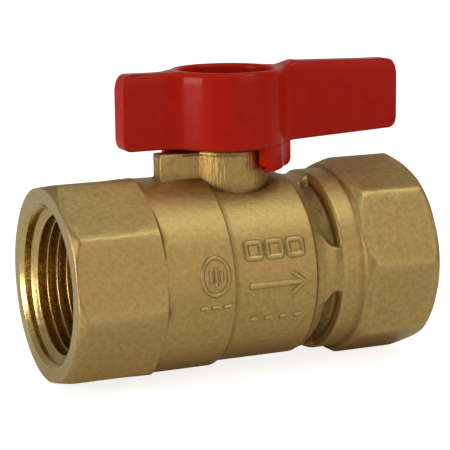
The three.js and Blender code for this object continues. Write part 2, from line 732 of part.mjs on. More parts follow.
const leverTrain = group(
  "lever_train",
  piece("stem", makeStem(), turnedBrass),
  piece("stem_o_ring", makeORing(), blackRubber),
  piece("lever", makeLever(), redEnamel),
  piece("lever_washer", makeLeverWasher(), zincSteel),
  piece("lever_nut", makeLeverNut(), zincSteel),
);

const valve = group("ball_valve", pressureShell, packingGland, leverTrain);
valve.add(piece("ball", makeBall(), chromedBrass));

export default valve;
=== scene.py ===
# %% [markdown]
# # A brass ball valve with a red lever
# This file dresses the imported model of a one-inch ball valve. The model gives every piece its place, its
# joint and its size. The cells below lay a fine surface over each piece that is seen, give every piece its
# finish, and set up a small photo table. All the shapes are worked out in millimetres and written to the
# mesh in metres.

# %% Load the frame
import json

import bpy
import numpy as np
from mathutils import Matrix, Vector

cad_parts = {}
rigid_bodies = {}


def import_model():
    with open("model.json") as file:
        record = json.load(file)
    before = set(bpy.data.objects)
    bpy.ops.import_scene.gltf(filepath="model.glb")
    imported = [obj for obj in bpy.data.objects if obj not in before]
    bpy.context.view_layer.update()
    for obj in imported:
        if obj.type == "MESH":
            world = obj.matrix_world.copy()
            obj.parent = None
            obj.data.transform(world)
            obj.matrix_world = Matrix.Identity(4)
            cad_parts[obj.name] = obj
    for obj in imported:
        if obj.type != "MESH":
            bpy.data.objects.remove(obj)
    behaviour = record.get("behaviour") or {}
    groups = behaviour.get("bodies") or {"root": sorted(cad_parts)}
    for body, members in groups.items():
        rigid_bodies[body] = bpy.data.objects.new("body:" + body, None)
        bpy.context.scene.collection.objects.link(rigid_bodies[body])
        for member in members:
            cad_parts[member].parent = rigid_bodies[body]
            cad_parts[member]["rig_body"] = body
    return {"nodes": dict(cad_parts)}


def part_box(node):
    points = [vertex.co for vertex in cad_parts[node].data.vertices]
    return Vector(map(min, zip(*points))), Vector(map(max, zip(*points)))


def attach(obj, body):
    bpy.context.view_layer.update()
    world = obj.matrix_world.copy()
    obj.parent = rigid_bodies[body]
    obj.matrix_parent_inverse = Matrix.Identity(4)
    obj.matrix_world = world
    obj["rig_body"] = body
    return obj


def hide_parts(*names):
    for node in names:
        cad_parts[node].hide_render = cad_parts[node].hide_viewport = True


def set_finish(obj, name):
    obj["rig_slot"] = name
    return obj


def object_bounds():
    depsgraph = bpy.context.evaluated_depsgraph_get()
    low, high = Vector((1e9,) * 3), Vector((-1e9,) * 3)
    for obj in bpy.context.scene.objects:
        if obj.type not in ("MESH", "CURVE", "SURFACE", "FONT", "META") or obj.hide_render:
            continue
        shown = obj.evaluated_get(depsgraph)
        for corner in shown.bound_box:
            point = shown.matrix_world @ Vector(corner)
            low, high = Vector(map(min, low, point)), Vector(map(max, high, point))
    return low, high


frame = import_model()
cad_low, cad_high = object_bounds()
MM = 0.001

# %% [markdown]
# Where things are comes from the frame. A node's box gives the faces of the body, of the cap and of the
# lever, so the surfaces follow the model if it changes. What a box can't say, such as the radius of a bore,
# is a named size here.

# %% Places read from the frame


def reach(node):
    """The lowest and highest corner of a node, in millimetres."""
    low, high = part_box(node)
    return np.array(low) / MM, np.array(high) / MM


body_low, body_high = reach("body")
cap_low, cap_high = reach("end_cap")
lever_low, lever_high = reach("lever")
stem_low, stem_high = reach("stem")
ball_low, ball_high = reach("ball")
boss_top = body_high[2]
joint_x = body_high[0]
print("body x", body_low[0], joint_x, "boss top", boss_top, "lever z", lever_low[2], lever_high[2])

# %% [markdown]
# ## Making surfaces
# Nearly every piece of a valve is turned, so its surface is an outline carried round an axis. An outline is
# a short list of corners. Real corners are never sharp, and a render shows it: the thin bright line along
# an edge is light caught by a small radius. So each corner here has its own radius, and the outline
# helper swaps it for a small curve that touches both its sides.

# %% Outlines with rounded corners


def outline(corners, step=0.7, arc=4):
    """A closed outline as arrays (along, radius, edge).
    corners holds (along, radius, rounding). Each corner becomes a quadratic curve between two points on its
    sides: (1-s)^2 A + 2s(1-s) C + s^2 B. Straight runs are split into steps with a point close to each end.
    edge is 1 on the curves and 0 on the runs."""
    corner = np.array(corners, float)
    point, radius = corner[:, :2], corner[:, 2]
    side = np.roll(point, -1, 0) - point
    length = np.linalg.norm(side, axis=1)
    trim = np.minimum(radius, 0.42 * np.minimum(length, np.roll(length, 1)))[:, None]
    start = point - trim * (np.roll(side, 1, 0) / np.roll(length, 1)[:, None])
    end = point + trim * (side / length[:, None])
    s = np.linspace(0, 1, arc + 1)[:, None]
    runs = []
    for i in range(len(point)):
        curve = (1 - s) ** 2 * start[i] + 2 * s * (1 - s) * point[i] + s ** 2 * end[i]
        curve = curve if radius[i] > 0 else point[i : i + 1]
        if point[i, 1] == 0 and np.roll(point, -1, 0)[i, 1] == 0:
            runs.append(np.column_stack([curve, 1 + 0 * curve[:, :1]]))
            continue
        gap = np.linalg.norm(np.roll(start, -1, 0)[i] - end[i])
        count = max(int(np.ceil(gap / step)), 1)
        near = min(0.12, gap / 4) / max(gap, 1e-9)
        inner = np.linspace(0, 1, count + 1)[1:-1]
        split = np.sort(np.concatenate([[near], inner, [1 - near]]))[:, None]
        straight = end[i] + split * (np.roll(start, -1, 0)[i] - end[i])
        flags = np.concatenate([np.ones(len(curve)), np.zeros(len(straight))])
        runs.append(np.column_stack([np.vstack([curve, straight]), flags]))
    return np.vstack(runs).T


def smooth_step(value, low, high):
    """0 below low, 1 above high, with the curve 3t^2 - 2t^3 between."""
    t = np.clip((value - low) / (high - low), 0, 1)
    return t * t * (3 - 2 * t)


def soft_min(a, b, k):
    """The smaller of two values, with a round change of about k where they cross."""
    return 0.5 * (a + b - np.sqrt((a - b) ** 2 + k * k))


def soft_max(a, b, k):
    return -soft_min(-a, -b, k)


# %% [markdown]
# A patch is a grid of points, its rows running one way over the surface and its columns the other. Cells
# between them become four-sided faces, and where the grid closes on itself the last row joins the first.
# The sign of the volume that a closed patch holds tells which way its faces look, so every patch can be
# turned to face outwards before it goes into a mesh.

# %% Grids to meshes


def patch(x, y, z, wrap_rows=True, wrap_columns=True, **fields):
    """Points, faces and point values of one closed grid, facing outwards."""
    shape = np.broadcast_shapes(np.shape(x), np.shape(y), np.shape(z))
    rows, columns = shape
    points = np.stack([np.broadcast_to(a, shape) for a in (x, y, z)], -1).reshape(-1, 3)
    i = np.arange(rows if wrap_rows else rows - 1)[:, None]
    j = np.arange(columns if wrap_columns else columns - 1)[None, :]
    below, right = (i + 1) % rows, (j + 1) % columns
    corners = [i * columns + j, i * columns + right, below * columns + right, below * columns + j]
    faces = np.stack([np.broadcast_to(c, (i.size, j.size)) for c in corners], -1).reshape(-1, 4)
    a, b, c, d = (points[faces[:, k]] for k in range(4))
    volume = np.sum(a * np.cross(b, c)) + np.sum(a * np.cross(c, d))
    if volume < 0:
        faces = faces[:, ::-1]
    values = {k: np.broadcast_to(v, shape).reshape(-1).astype(np.float32) for k, v in fields.items()}
    return points, faces, values


def mesh_of(name, patches):
    """One mesh from several patches, smooth shaded, with doubled points merged and point values kept."""
    import bmesh

    points = np.vstack([p for p, _, _ in patches]) * MM
    starts = np.cumsum([0] + [len(p) for p, _, _ in patches])
    faces = []
    for (_, cells, _), start in zip(patches, starts):
        faces += (cells + start).tolist() if isinstance(cells, np.ndarray) else [(c + start).tolist() for c in cells]
    mesh = bpy.data.meshes.new(name)
    mesh.from_pydata(points, [], faces)
    for field in sorted({k for _, _, v in patches for k in v}):
        values = [v.get(field, np.zeros(len(p), np.float32)) for p, _, v in patches]
        mesh.attributes.new(field, "FLOAT", "POINT").data.foreach_set("value", np.concatenate(values))
    work = bmesh.new()
    work.from_mesh(mesh)
    bmesh.ops.remove_doubles(work, verts=work.verts, dist=1e-7)
    work.to_mesh(mesh)
    work.free()
    mesh.polygons.foreach_set("use_smooth", np.ones(len(mesh.polygons), bool))
    mesh.update()
    return mesh


def show(name, mesh, node, slot):
    """A piece that stands for one node and rides on the body that the node belongs to."""
    piece = bpy.data.objects.new(name, mesh)
    bpy.context.scene.collection.objects.link(piece)
    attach(piece, frame["nodes"][node]["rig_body"])
    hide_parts(node)
    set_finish(piece, slot)
    print(f"{name}: {len(mesh.vertices)} points, {len(mesh.polygons)} faces, for {node}")
    return piece


# %% [markdown]
# Two ways to carry an outline round: about the pipe axis, with the angle counted from the front upwards,
# and about the stem axis. `shape` may change the radius as the outline goes round, and that is how a
# turned blank gets flats.

# %% Turned surfaces
SPOKES = 300


def spokes(count=SPOKES):
    return np.arange(count)[None, :] * (2 * np.pi / count)


def about_pipe(along, radius, angle):
    """x = along, y = -radius cos(angle), z = radius sin(angle)."""
    return along, -radius * np.cos(angle), radius * np.sin(angle)


def about_stem(along, radius, angle):
    """x = radius cos(angle), y = radius sin(angle), z = along."""
    return radius * np.cos(angle), radius * np.sin(angle), along


def turned(corners, place, count=96, step=0.7, arc=4, **fields):
    """An outline carried all the way round an axis."""
    along, radius, edge = outline(corners, step, arc)
    angle = spokes(count)
    x, y, z = place(along[:, None] + 0 * angle, radius[:, None] + 0 * angle, angle)
    return patch(x, y, z, wrap_rows=radius[0] > 0, edge=edge[:, None], **fields)


# %% [markdown]
# ## The threaded ports
# Both ends have a tapered pipe thread. It could be cut into the bore, but a grid that runs straight along
# the pipe shows steps wherever a thread crosses it at a slant. Here the bore is a plain taper, and the thread
# is one long ridge: a V section carried along a helix. At the mouth the ridge is held outside the entry
# cone, the way a countersink trims the first turns, and at the far end it sinks into the run-out.

# %% Thread ridge
PITCH = 2.209
THREAD_DEPTH = 1.77
ROOT_R = 16.5
MOUTH_R = 17.4
THREAD_LENGTH = 18.2
TAPER = 1 / 32
BORE_R = 11.0
drill_r = ROOT_R - THREAD_DEPTH - THREAD_LENGTH * TAPER


def thread(face_x, inward, per_turn=120):
    """A V section carried along a right-handed helix.
    Depth grows by one pitch a turn, and the radius is the tapered root less the height of the V."""
    turns = np.arange(0.53, (THREAD_LENGTH + PITCH / 2) / PITCH, 1 / per_turn)[:, None]
    offset = np.array([-0.495, -0.44, -0.26, -0.09, -0.045, 0.045, 0.09, 0.26, 0.44, 0.495, 0.3, -0.3])[None, :]
    height = np.array([-0.03, 0.05, 0.47, 0.9, 1.0, 1.0, 0.9, 0.47, 0.05, -0.03, -0.25, -0.25])[None, :]
    shrink = np.ones_like(turns)
    shrink[0] = shrink[-1] = 0
    grow = smooth_step(turns, 0.53, 1.0)
    depth = turns * PITCH + offset * PITCH * shrink
    ridge = ROOT_R - depth * TAPER - THREAD_DEPTH * (height * shrink * grow - 0.1 * (1 - shrink * grow))
    cone = MOUTH_R - depth + 0.03
    radius = np.maximum(ridge, cone + 0.3 * shrink * (height < -0.2))
    angle = -inward * 2 * np.pi * turns
    x, y, z = about_pipe(face_x + inward * depth, radius, angle)
    # hollow is painted shade, darker down the flanks towards the roots of the V.
    hollow = 0.2 * np.clip(1 - height, 0, 1)
    return patch(x, y, z, wrap_rows=False, turned=1.0 + 0 * x, hollow=hollow)


def port(face_x, inward):
    """The corners of a port from its mouth to the bore: entry cone, tapered wall, run-out and drill point."""
    wall = [(0, MOUTH_R, 0.12), (MOUTH_R - ROOT_R, ROOT_R, 0.05), (THREAD_LENGTH - 3.4, ROOT_R - 0.6, 0.3)]
    end = [(THREAD_LENGTH, drill_r, 0.2), (THREAD_LENGTH + (drill_r - BORE_R) / 2, BORE_R, 0.2)]
    return [(face_x + inward * depth, r, k) for depth, r, k in wall + end]


print("thread runs", round(THREAD_LENGTH / PITCH, 1), "turns, drill radius", round(drill_r, 2))

# %% [markdown]
# ## The body
# The body is a forging with an octagon for the wrench at the pipe end and a round barrel behind it. One
# outline runs the whole way: over the outside, through the joint, and back through the cavity and the port.
# Where it passes the octagon its radius is held under the flats, with a soft minimum so that the ridges are
# as round as a forging's. The flats swell a little before they reach the barrel, and the turned step at
# their end leaves a crescent at each ridge, darkened further with painted shade.

# %% Body shell
FLAT_R = 20.5
RIDGE_R = 22.05
SHOULDER_R = 20.75
BARREL_R = 19.95
BALL_R = 16.0
CAVITY_R = 17.0
POCKET_R = 15.6
JOINT_R = 18.2
seat_front = float(np.sqrt(16.1 ** 2 - 14 ** 2))
pocket_x = float(np.sqrt(16.1 ** 2 - BORE_R ** 2)) + 1.6
shoulder_x = body_low[0] + 18.7
step_x = -7.3
BODY_TURN = 34.5
CAP_TURN = 48.5


def octagon(angle, turn):
    """Distance to an octagon's flats: the flat's distance over the cosine of the angle from its middle."""
    from_flat = np.mod(angle - np.radians(turn), np.pi / 4) - np.pi / 8
    return FLAT_R / np.cos(from_flat)


def with_flats(along, radius, angle, turn, release):
    """Holds a turned radius under an octagon, except where release lifts the flats clear of it."""
    flats = octagon(angle, turn) + release
    outside = radius > 19.2
    held = np.where(outside, soft_min(radius, flats, 0.3), radius)
    ridge = np.exp(-(((flats - radius) / 0.45) ** 2)) * outside
    return held, ridge


def body_corners():
    x = body_low[0]
    outer = [(x, FLAT_R, 0.3), (x + 1.6, RIDGE_R, 0.5), (shoulder_x, RIDGE_R, 0.3)]
    barrel = [(shoulder_x + 0.75, SHOULDER_R, 0.35), (step_x - 0.35, SHOULDER_R, 0.25)]
    joint = [(step_x, BARREL_R, 0.2), (joint_x, BARREL_R, 0.18), (joint_x, JOINT_R, 0.1)]
    cavity = [(6.4, JOINT_R, 0.1), (6.4, CAVITY_R, 0.1), (-seat_front, CAVITY_R, 0.1)]
    pocket = [(-seat_front, POCKET_R, 0.1), (-pocket_x, POCKET_R, 0.1), (-pocket_x, BORE_R, 0.1)]
    return outer + barrel + joint + cavity + pocket + port(x, 1)[::-1]


def body_shell():
    along, radius, edge = (a[:, None] for a in outline(body_corners(), step=1.1))
    angle = spokes()
    swell = 0.25 * smooth_step(along, -31, shoulder_x) + 3 * smooth_step(along, shoulder_x + 0.7, shoulder_x + 1.1)
    held, ridge = with_flats(along, radius, angle, BODY_TURN, swell)
    x, y, z = about_pipe(along + 0 * angle, held + 0 * angle, angle)
    # hollow below is painted shade: darker round the foot of the boss, under the barrel's step and in the crescent past
    # the end of each ridge.
    near_boss = np.exp(-(((np.hypot(x, y) - BOSS_R - 0.3) / 1.1) ** 2)) * (z > 0) * (held > 19)
    under_step = np.exp(-(((x - step_x - 0.2) / 0.35) ** 2)) * (held > 19)
    face = radius < 20.3
    face = face & ((along < body_low[0] + 1) | (radius < 19))
    proud = (held > SHOULDER_R + 0.2) | (along > shoulder_x + 2) | (radius < 19)
    wear = np.maximum(0.4 * edge * (radius > 17) * proud, 0.5 * ridge)
    past_ridge = np.exp(-(((along - shoulder_x - 0.9) / 0.4) ** 2)) * smooth_step(octagon(angle, BODY_TURN), 21.3, 22.1)
    hollow = np.maximum.reduce([0.8 * near_boss, 0.5 * under_step, 0.7 * past_ridge * (held > 19)])
    return patch(x, y, z, edge=wear, turned=face * 1.0, hollow=hollow)


# %% [markdown]
# The boss that holds the packing stands on the barrel, with the stop lug running from it towards the pipe.
# Seen from above, their outline is a distance from the stem axis for each angle: the larger of a circle and
# of a narrow box. From that outline the wall drops to the barrel and flares into it with a quarter-round.
# The same grid carries on inside, down the packing chamber to the cavity.

# %% Boss and lug
BOSS_R = 8.6
LUG_REACH = 16.8
LUG_FRONT = 3.4
LUG_BACK = 1.0
LUG_DROP = 0.45
CHAMBER_R = 6.6
BOSS_FLARE = 0.8


def barrel_top(x, y):
    """Height of the barrel's skin above the pipe axis at a place in plan."""
    radius = SHOULDER_R - (SHOULDER_R - BARREL_R) * smooth_step(x, step_x - 0.4, step_x)
    return np.sqrt(np.maximum(radius ** 2 - y ** 2, 1))


def boss_angles():
    along = np.linspace(LUG_REACH, BOSS_R * 0.9, 46)
    front = np.pi + np.arctan2(LUG_FRONT, along)
    back = np.pi - np.arctan2(LUG_BACK, along)
    end = np.linspace(back[0], front[0], 30)
    rest = np.linspace(front[-1], back[-1] + 2 * np.pi, 170)
    angle = np.sort(np.concatenate([front, back + 0, end, rest]))
    return angle[np.concatenate([np.diff(angle) > 1e-3, [False]])]


def boss_plan(angle):
    """The larger of a circle and a lug: a box whose back corner is rounder than its front one."""
    cosine, sine = -np.cos(angle), np.sin(angle)
    side = np.where(sine > 0, LUG_BACK / np.maximum(sine, 1e-4), LUG_FRONT / np.maximum(-sine, 1e-4))
    corner = np.where(sine > 0, 1.3, 0.3)
    lug = soft_min(LUG_REACH / np.maximum(cosine, 1e-3), side, corner)
    lug = np.where(cosine > 0.05, lug, 0)
    return soft_max(BOSS_R, lug, 0.35)


def normals_of(px, py):
    """Outward unit normals of a closed plan curve that runs anticlockwise."""
    tx, ty = np.roll(px, -1) - np.roll(px, 1), np.roll(py, -1) - np.roll(py, 1)
    size = np.hypot(tx, ty)
    return ty / size, -tx / size


def boss_and_lug():
    angle = boss_angles()
    plan = boss_plan(angle)
    px, py = plan * np.cos(angle), plan * np.sin(angle)
    nx, ny = normals_of(px, py)
    rounding, flare = 0.35, BOSS_FLARE
    rows = []

    def top(x, y):
        return boss_top - LUG_DROP * smooth_step(np.hypot(x, y), BOSS_R - 0.35, BOSS_R + 0.1)

    def add(x, y, z, streak=0.0, hollow=0.0, edge=0.0):
        rows.append(np.stack([x, y, z, streak + 0 * x, hollow + 0 * x, edge + 0 * x]))

    ix, iy = px - nx * rounding, py - ny * rounding
    inner = CHAMBER_R + 0.3
    for t in np.linspace(0, 1, 18)[:-1]:
        x = (1 - t) * inner * np.cos(angle) + t * ix
        y = (1 - t) * inner * np.sin(angle) + t * iy
        add(x, y, top(x, y))
    for a in np.linspace(0, np.pi / 2, 5):
        x, y = px - nx * rounding * (1 - np.sin(a)), py - ny * rounding * (1 - np.sin(a))
        add(x, y, top(x, y) - rounding * (1 - np.cos(a)), edge=1.0)
    low, high = barrel_top(px, py) + flare, top(px, py) - rounding
    for t in np.linspace(0, 1, 12)[1:-1]:
        add(px, py, high + t * (low - high), streak=1.0)
    for b in np.linspace(0, np.pi / 2, 7):
        x, y = px + nx * flare * (1 - np.cos(b)), py + ny * flare * (1 - np.cos(b))
        z = barrel_top(x, y) + flare * (1 - np.sin(b)) - 0.04 * b
        # hollow here is painted shade in the quarter-round where the boss meets the barrel, darker at its foot.
        add(x, y, z, streak=1 - b / 1.6, hollow=0.25 + 0.4 * (b > 0.7))
    add(px, py, barrel_top(px, py) - 1.3)
    for radius, height in [(7.2, None), (6.0, None), (6.0, 18.1), (4.85, 18.1), (4.85, 20.0),
                           (CHAMBER_R, 20.0), (CHAMBER_R, boss_top - 0.3)]:
        x, y = radius * np.cos(angle), radius * np.sin(angle)
        floor = np.sqrt(CAVITY_R ** 2 - y ** 2) + 0.05
        add(x, y, floor if height is None else height + 0 * x)
    x, y, z, streak, hollow, edge = np.stack(rows, 1)
    return patch(x, y, z, streak=streak, hollow=hollow, edge=edge)


# %% [markdown]
# ## Raised marks
# Forgings carry raised marks. Here they are plain shapes: a ring, a flow arrow, three open squares and two
# rows of dashes. Each is a low rounded bead carried along a path that is drawn on the unrolled barrel, then
# wrapped round it: a distance along the arc over the radius is an angle.

# %% Beads on the barrel
MARK_HEIGHT = 0.44


def bead(path, radius, width=1.0, height=MARK_HEIGHT, closed=True):
    """A low bead along a path of (x, arc) points on a barrel.
    Across the path its height is a cosine bell, and its underside is buried 0.3 mm deep."""
    x, arc = np.asarray(path, float).T
    if closed:
        tx, ta = np.roll(x, -1) - np.roll(x, 1), np.roll(arc, -1) - np.roll(arc, 1)
    else:
        tx, ta = np.gradient(x), np.gradient(arc)
    size = np.hypot(tx, ta)
    nx, na = -ta / size, tx / size
    across = np.array([-0.72, -0.6, -0.45, -0.28, -0.1, 0.1, 0.28, 0.45, 0.6, 0.72, 0.5, -0.5])[None, :] * width
    lift = height * (0.5 + 0.5 * np.cos(np.clip(across / width / 0.66, -1, 1) * np.pi)) ** 0.6 - 0.04
    lift[0, -2:] = -0.3
    taper = np.ones(len(x))[:, None]
    if not closed:
        run = np.cumsum(np.r_[0, np.hypot(np.diff(x), np.diff(arc))])
        end = np.minimum(run, run[-1] - run)[:, None] / (0.5 * width)
        taper = np.sqrt(np.clip(1 - (1 - np.clip(end, 0, 1)) ** 2, 0, 1))
    px = x[:, None] + nx[:, None] * across * taper
    pa = arc[:, None] + na[:, None] * across * taper
    pr = radius + np.where(taper > 0.01, lift * np.minimum(taper * 1.3, 1), -0.15)
    gx, gy, gz = about_pipe(px, pr, pa / radius)
    crown = np.clip(lift / height, 0, 1) + 0 * px
    # hollow is painted shade: a dark rim round the foot of each bead.
    return patch(gx, gy, gz, wrap_rows=closed, edge=0.8 * crown, hollow=0.75 * np.clip(1 - 2.2 * crown, 0, 1))


def ring_path(x, arc, half_x, half_arc, power=2.0, count=72):
    """A closed superellipse: power 2 is an ellipse, and a larger power squares its corners."""
    t = np.linspace(0, 2 * np.pi, count, endpoint=False)
    c, s = np.cos(t), np.sin(t)
    return np.column_stack([
        x + half_x * np.sign(c) * np.abs(c) ** (2 / power),
        arc + half_arc * np.sign(s) * np.abs(s) ** (2 / power),
    ])


def line_path(x0, a0, x1, a1, count=26):
    return np.column_stack([np.linspace(x0, x1, count), np.linspace(a0, a1, count)])


def arc_at(degrees, radius):
    return np.radians(degrees) * radius


def body_marks():
    ring_x, ring_arc = -12.0, arc_at(8, SHOULDER_R)
    marks = [bead(ring_path(ring_x, ring_arc, 3.0, 3.9), SHOULDER_R, 0.85)]
    marks += [bead(line_path(ring_x + d, ring_arc - h, ring_x + d, ring_arc + h), SHOULDER_R, 0.8, closed=False)
              for d, h in ((-1.1, 1.5), (0.1, 2.2), (1.3, 1.3))]
    low = arc_at(-10, SHOULDER_R)
    marks += [bead(line_path(ring_x + d - 1.0, low, ring_x + d + 1.0, low), SHOULDER_R, 0.8, closed=False)
              for d in (-2.6, 0, 2.6)]
    high = arc_at(21, BARREL_R)
    marks += [bead(ring_path(2.2 + d, high, 1.65, 1.65, 7.0), BARREL_R, 1.15) for d in (-4.8, 0, 4.8)]
    mid = arc_at(-0.5, BARREL_R)
    marks += [bead(line_path(-4.4, mid, 8.4, mid, 60), BARREL_R, 1.2, closed=False)]
    marks += [bead(line_path(5.6, mid + side * 2.4, 8.7, mid, 30), BARREL_R, 1.0, closed=False) for side in (-1, 1)]
    foot = arc_at(-22, BARREL_R)
    marks += [bead(line_path(-3.6 + d, foot, -1.6 + d, foot), BARREL_R, 1.1, closed=False) for d in (0, 3.4, 6.8, 10.2)]
    return marks


# %% [markdown]
# The barrel and the boss are two closed surfaces, and the stem has to pass through both. A boolean modifier
# bores the barrel alone with a plain plug, before the boss is added to the mesh, so the cut edge is buried
# inside the boss and leaves no mark on the outside.

# %% Body piece


def bored(shell, tool):
    """The shell's patch with another closed patch cut out of it by a boolean, as a patch again."""
    blank = bpy.data.objects.new("blank", mesh_of("blank", [shell]))
    cutter = bpy.data.objects.new("cutter", mesh_of("cutter", [tool]))
    for o in (blank, cutter):
        bpy.context.scene.collection.objects.link(o)
    cut = blank.modifiers.new("bore", "BOOLEAN")
    cut.operation, cut.solver, cut.object = "DIFFERENCE", "MANIFOLD", cutter
    graph = bpy.context.evaluated_depsgraph_get()
    made = blank.evaluated_get(graph).to_mesh()
    points = np.empty(len(made.vertices) * 3)
    made.vertices.foreach_get("co", points)
    loops = np.empty(len(made.loops), int)
    made.loops.foreach_get("vertex_index", loops)
    starts = np.empty(len(made.polygons), int)
    made.polygons.foreach_get("loop_start", starts)
    faces = np.split(loops, starts[1:])
    fields = {}
    for field in shell[2]:
        fields[field] = np.empty(len(made.vertices), np.float32)
        made.attributes[field].data.foreach_get("value", fields[field])
    for o in (blank, cutter):
        bpy.data.objects.remove(o)
    return points.reshape(-1, 3) / MM, faces, fields


def plug(radius, low, high):
    return turned([(low, 0, 0), (low, radius, 0), (high, radius, 0), (high, 0, 0)], about_stem, count=120, step=9)


body_patches = [bored(body_shell(), plug(CHAMBER_R + 0.6, 12, 22)), boss_and_lug()]
body_patches += [thread(body_low[0], 1)] + body_marks()
body = show("valve_body", mesh_of("valve_body", body_patches), "body", "forged_brass")

# %% [markdown]
# ## The end cap
# The cap screws into the barrel, so its outline starts at the nose inside the body. Outside come a cone, a
# groove that the forging left, a collar and the second octagon. Four lands bridge the groove, each in line
# with a ridge; inside their angle the radius is raised to the barrel's, which gives them steep sides on the
# same grid.

# %% End cap
NOSE_R = 17.9
NOSE_X = 7.4
CONE_R = 18.1
GROOVE_R = 17.45
COLLAR_R = 19.85
LAND_R = 19.05
LAND_HALF = 15.0
CAP_OCTAGON = 18.5
groove_low, groove_high = joint_x + 3.2, joint_x + 6.3


def cap_corners():
    x = cap_high[0]
    rim = joint_x + 0.1
    nose = [(NOSE_X, POCKET_R, 0.1), (NOSE_X, NOSE_R, 0.2), (rim, NOSE_R, 0.1), (rim, BARREL_R - 0.15, 0.2)]
    groove = [(groove_low - 0.15, CONE_R + 0.25, 0.3), (groove_low, GROOVE_R, 0.35), (groove_high - 0.5, GROOVE_R, 0.5)]
    collar = [(groove_high + 0.25, COLLAR_R, 0.5), (x - CAP_OCTAGON, COLLAR_R, 0.3)]
    head = [(x - CAP_OCTAGON + 0.5, COLLAR_R + 0.9, 0.4), (x - CAP_OCTAGON + 2.8, RIDGE_R, 0.5)]
    face = [(x - 1.6, RIDGE_R, 0.5), (x, FLAT_R, 0.3)]
    inside = [(pocket_x, BORE_R, 0.1), (pocket_x, POCKET_R, 0.1)]
    return nose + groove + collar + head + face + port(x, -1) + inside


def land_surface(along):
    """The lands' radius: a cone that falls from the seam to the groove's near edge and climbs to the collar."""
    down = BARREL_R - 0.3 - (BARREL_R - 0.3 - LAND_R) * smooth_step(along, joint_x, groove_low)
    return down + (COLLAR_R - LAND_R) * smooth_step(along, groove_high - 1.6, groove_high + 0.3)


def end_cap_shell():
    along, radius, edge = (a[:, None] for a in outline(cap_corners(), step=0.8))
    angle = spokes()
    from_land = np.abs(np.degrees(np.mod(angle - np.radians(CAP_TURN - 45), np.pi / 2)))
    from_land = np.minimum(from_land, 90 - from_land)
    half = LAND_HALF + 7 * np.clip((groove_high - along) / 3.1, 0, 1) ** 2
    land = 1 - smooth_step(from_land, half - 2.5, half + 2.5)
    waist = (radius > 17.2) & (along > joint_x + 0.2) & (along < groove_high + 0.4)
    release = 4 * (1 - smooth_step(along, cap_high[0] - CAP_OCTAGON - 0.1, cap_high[0] - CAP_OCTAGON + 0.4))
    held, ridge = with_flats(along, radius, angle, CAP_TURN, release)
    held = np.where(waist, np.maximum(held, held + land * (land_surface(along) - held)), held)
    x, y, z = about_pipe(along + 0 * angle, held + 0 * angle, angle)
    rim = np.exp(-(((from_land - half) / 1.6) ** 2)) * waist
    # The hollow value below is painted shade: the groove, the joint with the body and the crease where the octagon
    # starts are darkened.
    groove = waist & (along > groove_low - 0.1) & (held < 18.6)
    seam = np.exp(-(((along - joint_x - 0.2) / 0.3) ** 2)) * (radius > 17.8)
    crease = np.exp(-(((along - cap_high[0] + CAP_OCTAGON) / 0.5) ** 2)) * (radius > 19) * (radius < 21)
    face = ((along > cap_high[0] - 1) & (radius < 20.3)) | (radius < 17.2)
    wear = np.maximum.reduce([0.5 * edge * (radius > 17.1) * (1 - land * waist) + 0 * angle, 0.5 * ridge, 0.4 * rim])
    hollow = np.maximum.reduce([groove * 0.85, 0.9 * seam + 0 * angle, 0.5 * crease + 0 * angle])
    return patch(x, y, z, edge=wear, turned=face * 1.0, hollow=hollow)


cap_patches = [end_cap_shell(), thread(cap_high[0], -1)]
end_cap = show("valve_end_cap", mesh_of("valve_end_cap", cap_patches), "end_cap", "forged_brass")

# %% [markdown]
# ## The lever
# The lever is a casting: a cup over the stem with a plate each way. Seen from above it is star-shaped, so its
# edge is one distance for each angle: a plate, a fillet or the hub. All the rows of the grid share those
# angles. They climb from the stem hole over the floor of the cup, over the rim, out along the plates, down
# the wall and back under. The edges are rounded by about a millimetre, since thick paint on a casting
# leaves no sharp corner.

# %% Lever plan
HUB_R = 12.3
CUP_R = 10.2
PLATE_HALF = 2.6
FILLET_R = 6.2
SHORT_ARM = -lever_low[0]
LONG_ARM = lever_high[0]
fillet_y = PLATE_HALF + FILLET_R
fillet_x = float(np.sqrt((HUB_R + FILLET_R) ** 2 - fillet_y ** 2))
plate_angle = float(np.arctan2(PLATE_HALF, fillet_x))
fillet_angle = float(np.arctan2(fillet_y, fillet_x))


def lever_angles():
    """Angles round the stem, spaced so that the points are even along the plates and not only in angle."""

    def plate(arm):
        tip = np.arctan2(np.linspace(0, PLATE_HALF, 12), arm)
        side = np.concatenate([arm - np.linspace(0, 3, 14)[1:], np.linspace(arm - 3, fillet_x, 36)[1:]])
        return np.concatenate([tip, np.arctan2(PLATE_HALF, side), np.linspace(plate_angle, fillet_angle, 16)[1:]])

    right, left = plate(LONG_ARM), np.pi - plate(SHORT_ARM)
    upper = np.concatenate([right, np.linspace(fillet_angle, np.pi - fillet_angle, 110), left])
    angle = np.sort(np.mod(np.concatenate([upper, -upper]), 2 * np.pi))
    return angle[np.concatenate([np.diff(angle) > 2e-4, [False]])]


def lever_plan(angle):
    """Distance from the stem axis to the lever's side."""
    c, s = np.abs(np.cos(angle)), np.abs(np.sin(angle))
    turn = np.arctan2(s, c)
    arm = np.where(np.cos(angle) > 0, LONG_ARM, SHORT_ARM) + 0.11
    plate = soft_min(arm / c, PLATE_HALF / np.maximum(s, 1e-5), 0.55)
    b = fillet_x * c + fillet_y * s
    curve = b - np.sqrt(np.maximum(b ** 2 - fillet_x ** 2 - fillet_y ** 2 + FILLET_R ** 2, 0))
    return np.where(turn < plate_angle, plate, np.where(turn < fillet_angle, curve, HUB_R))


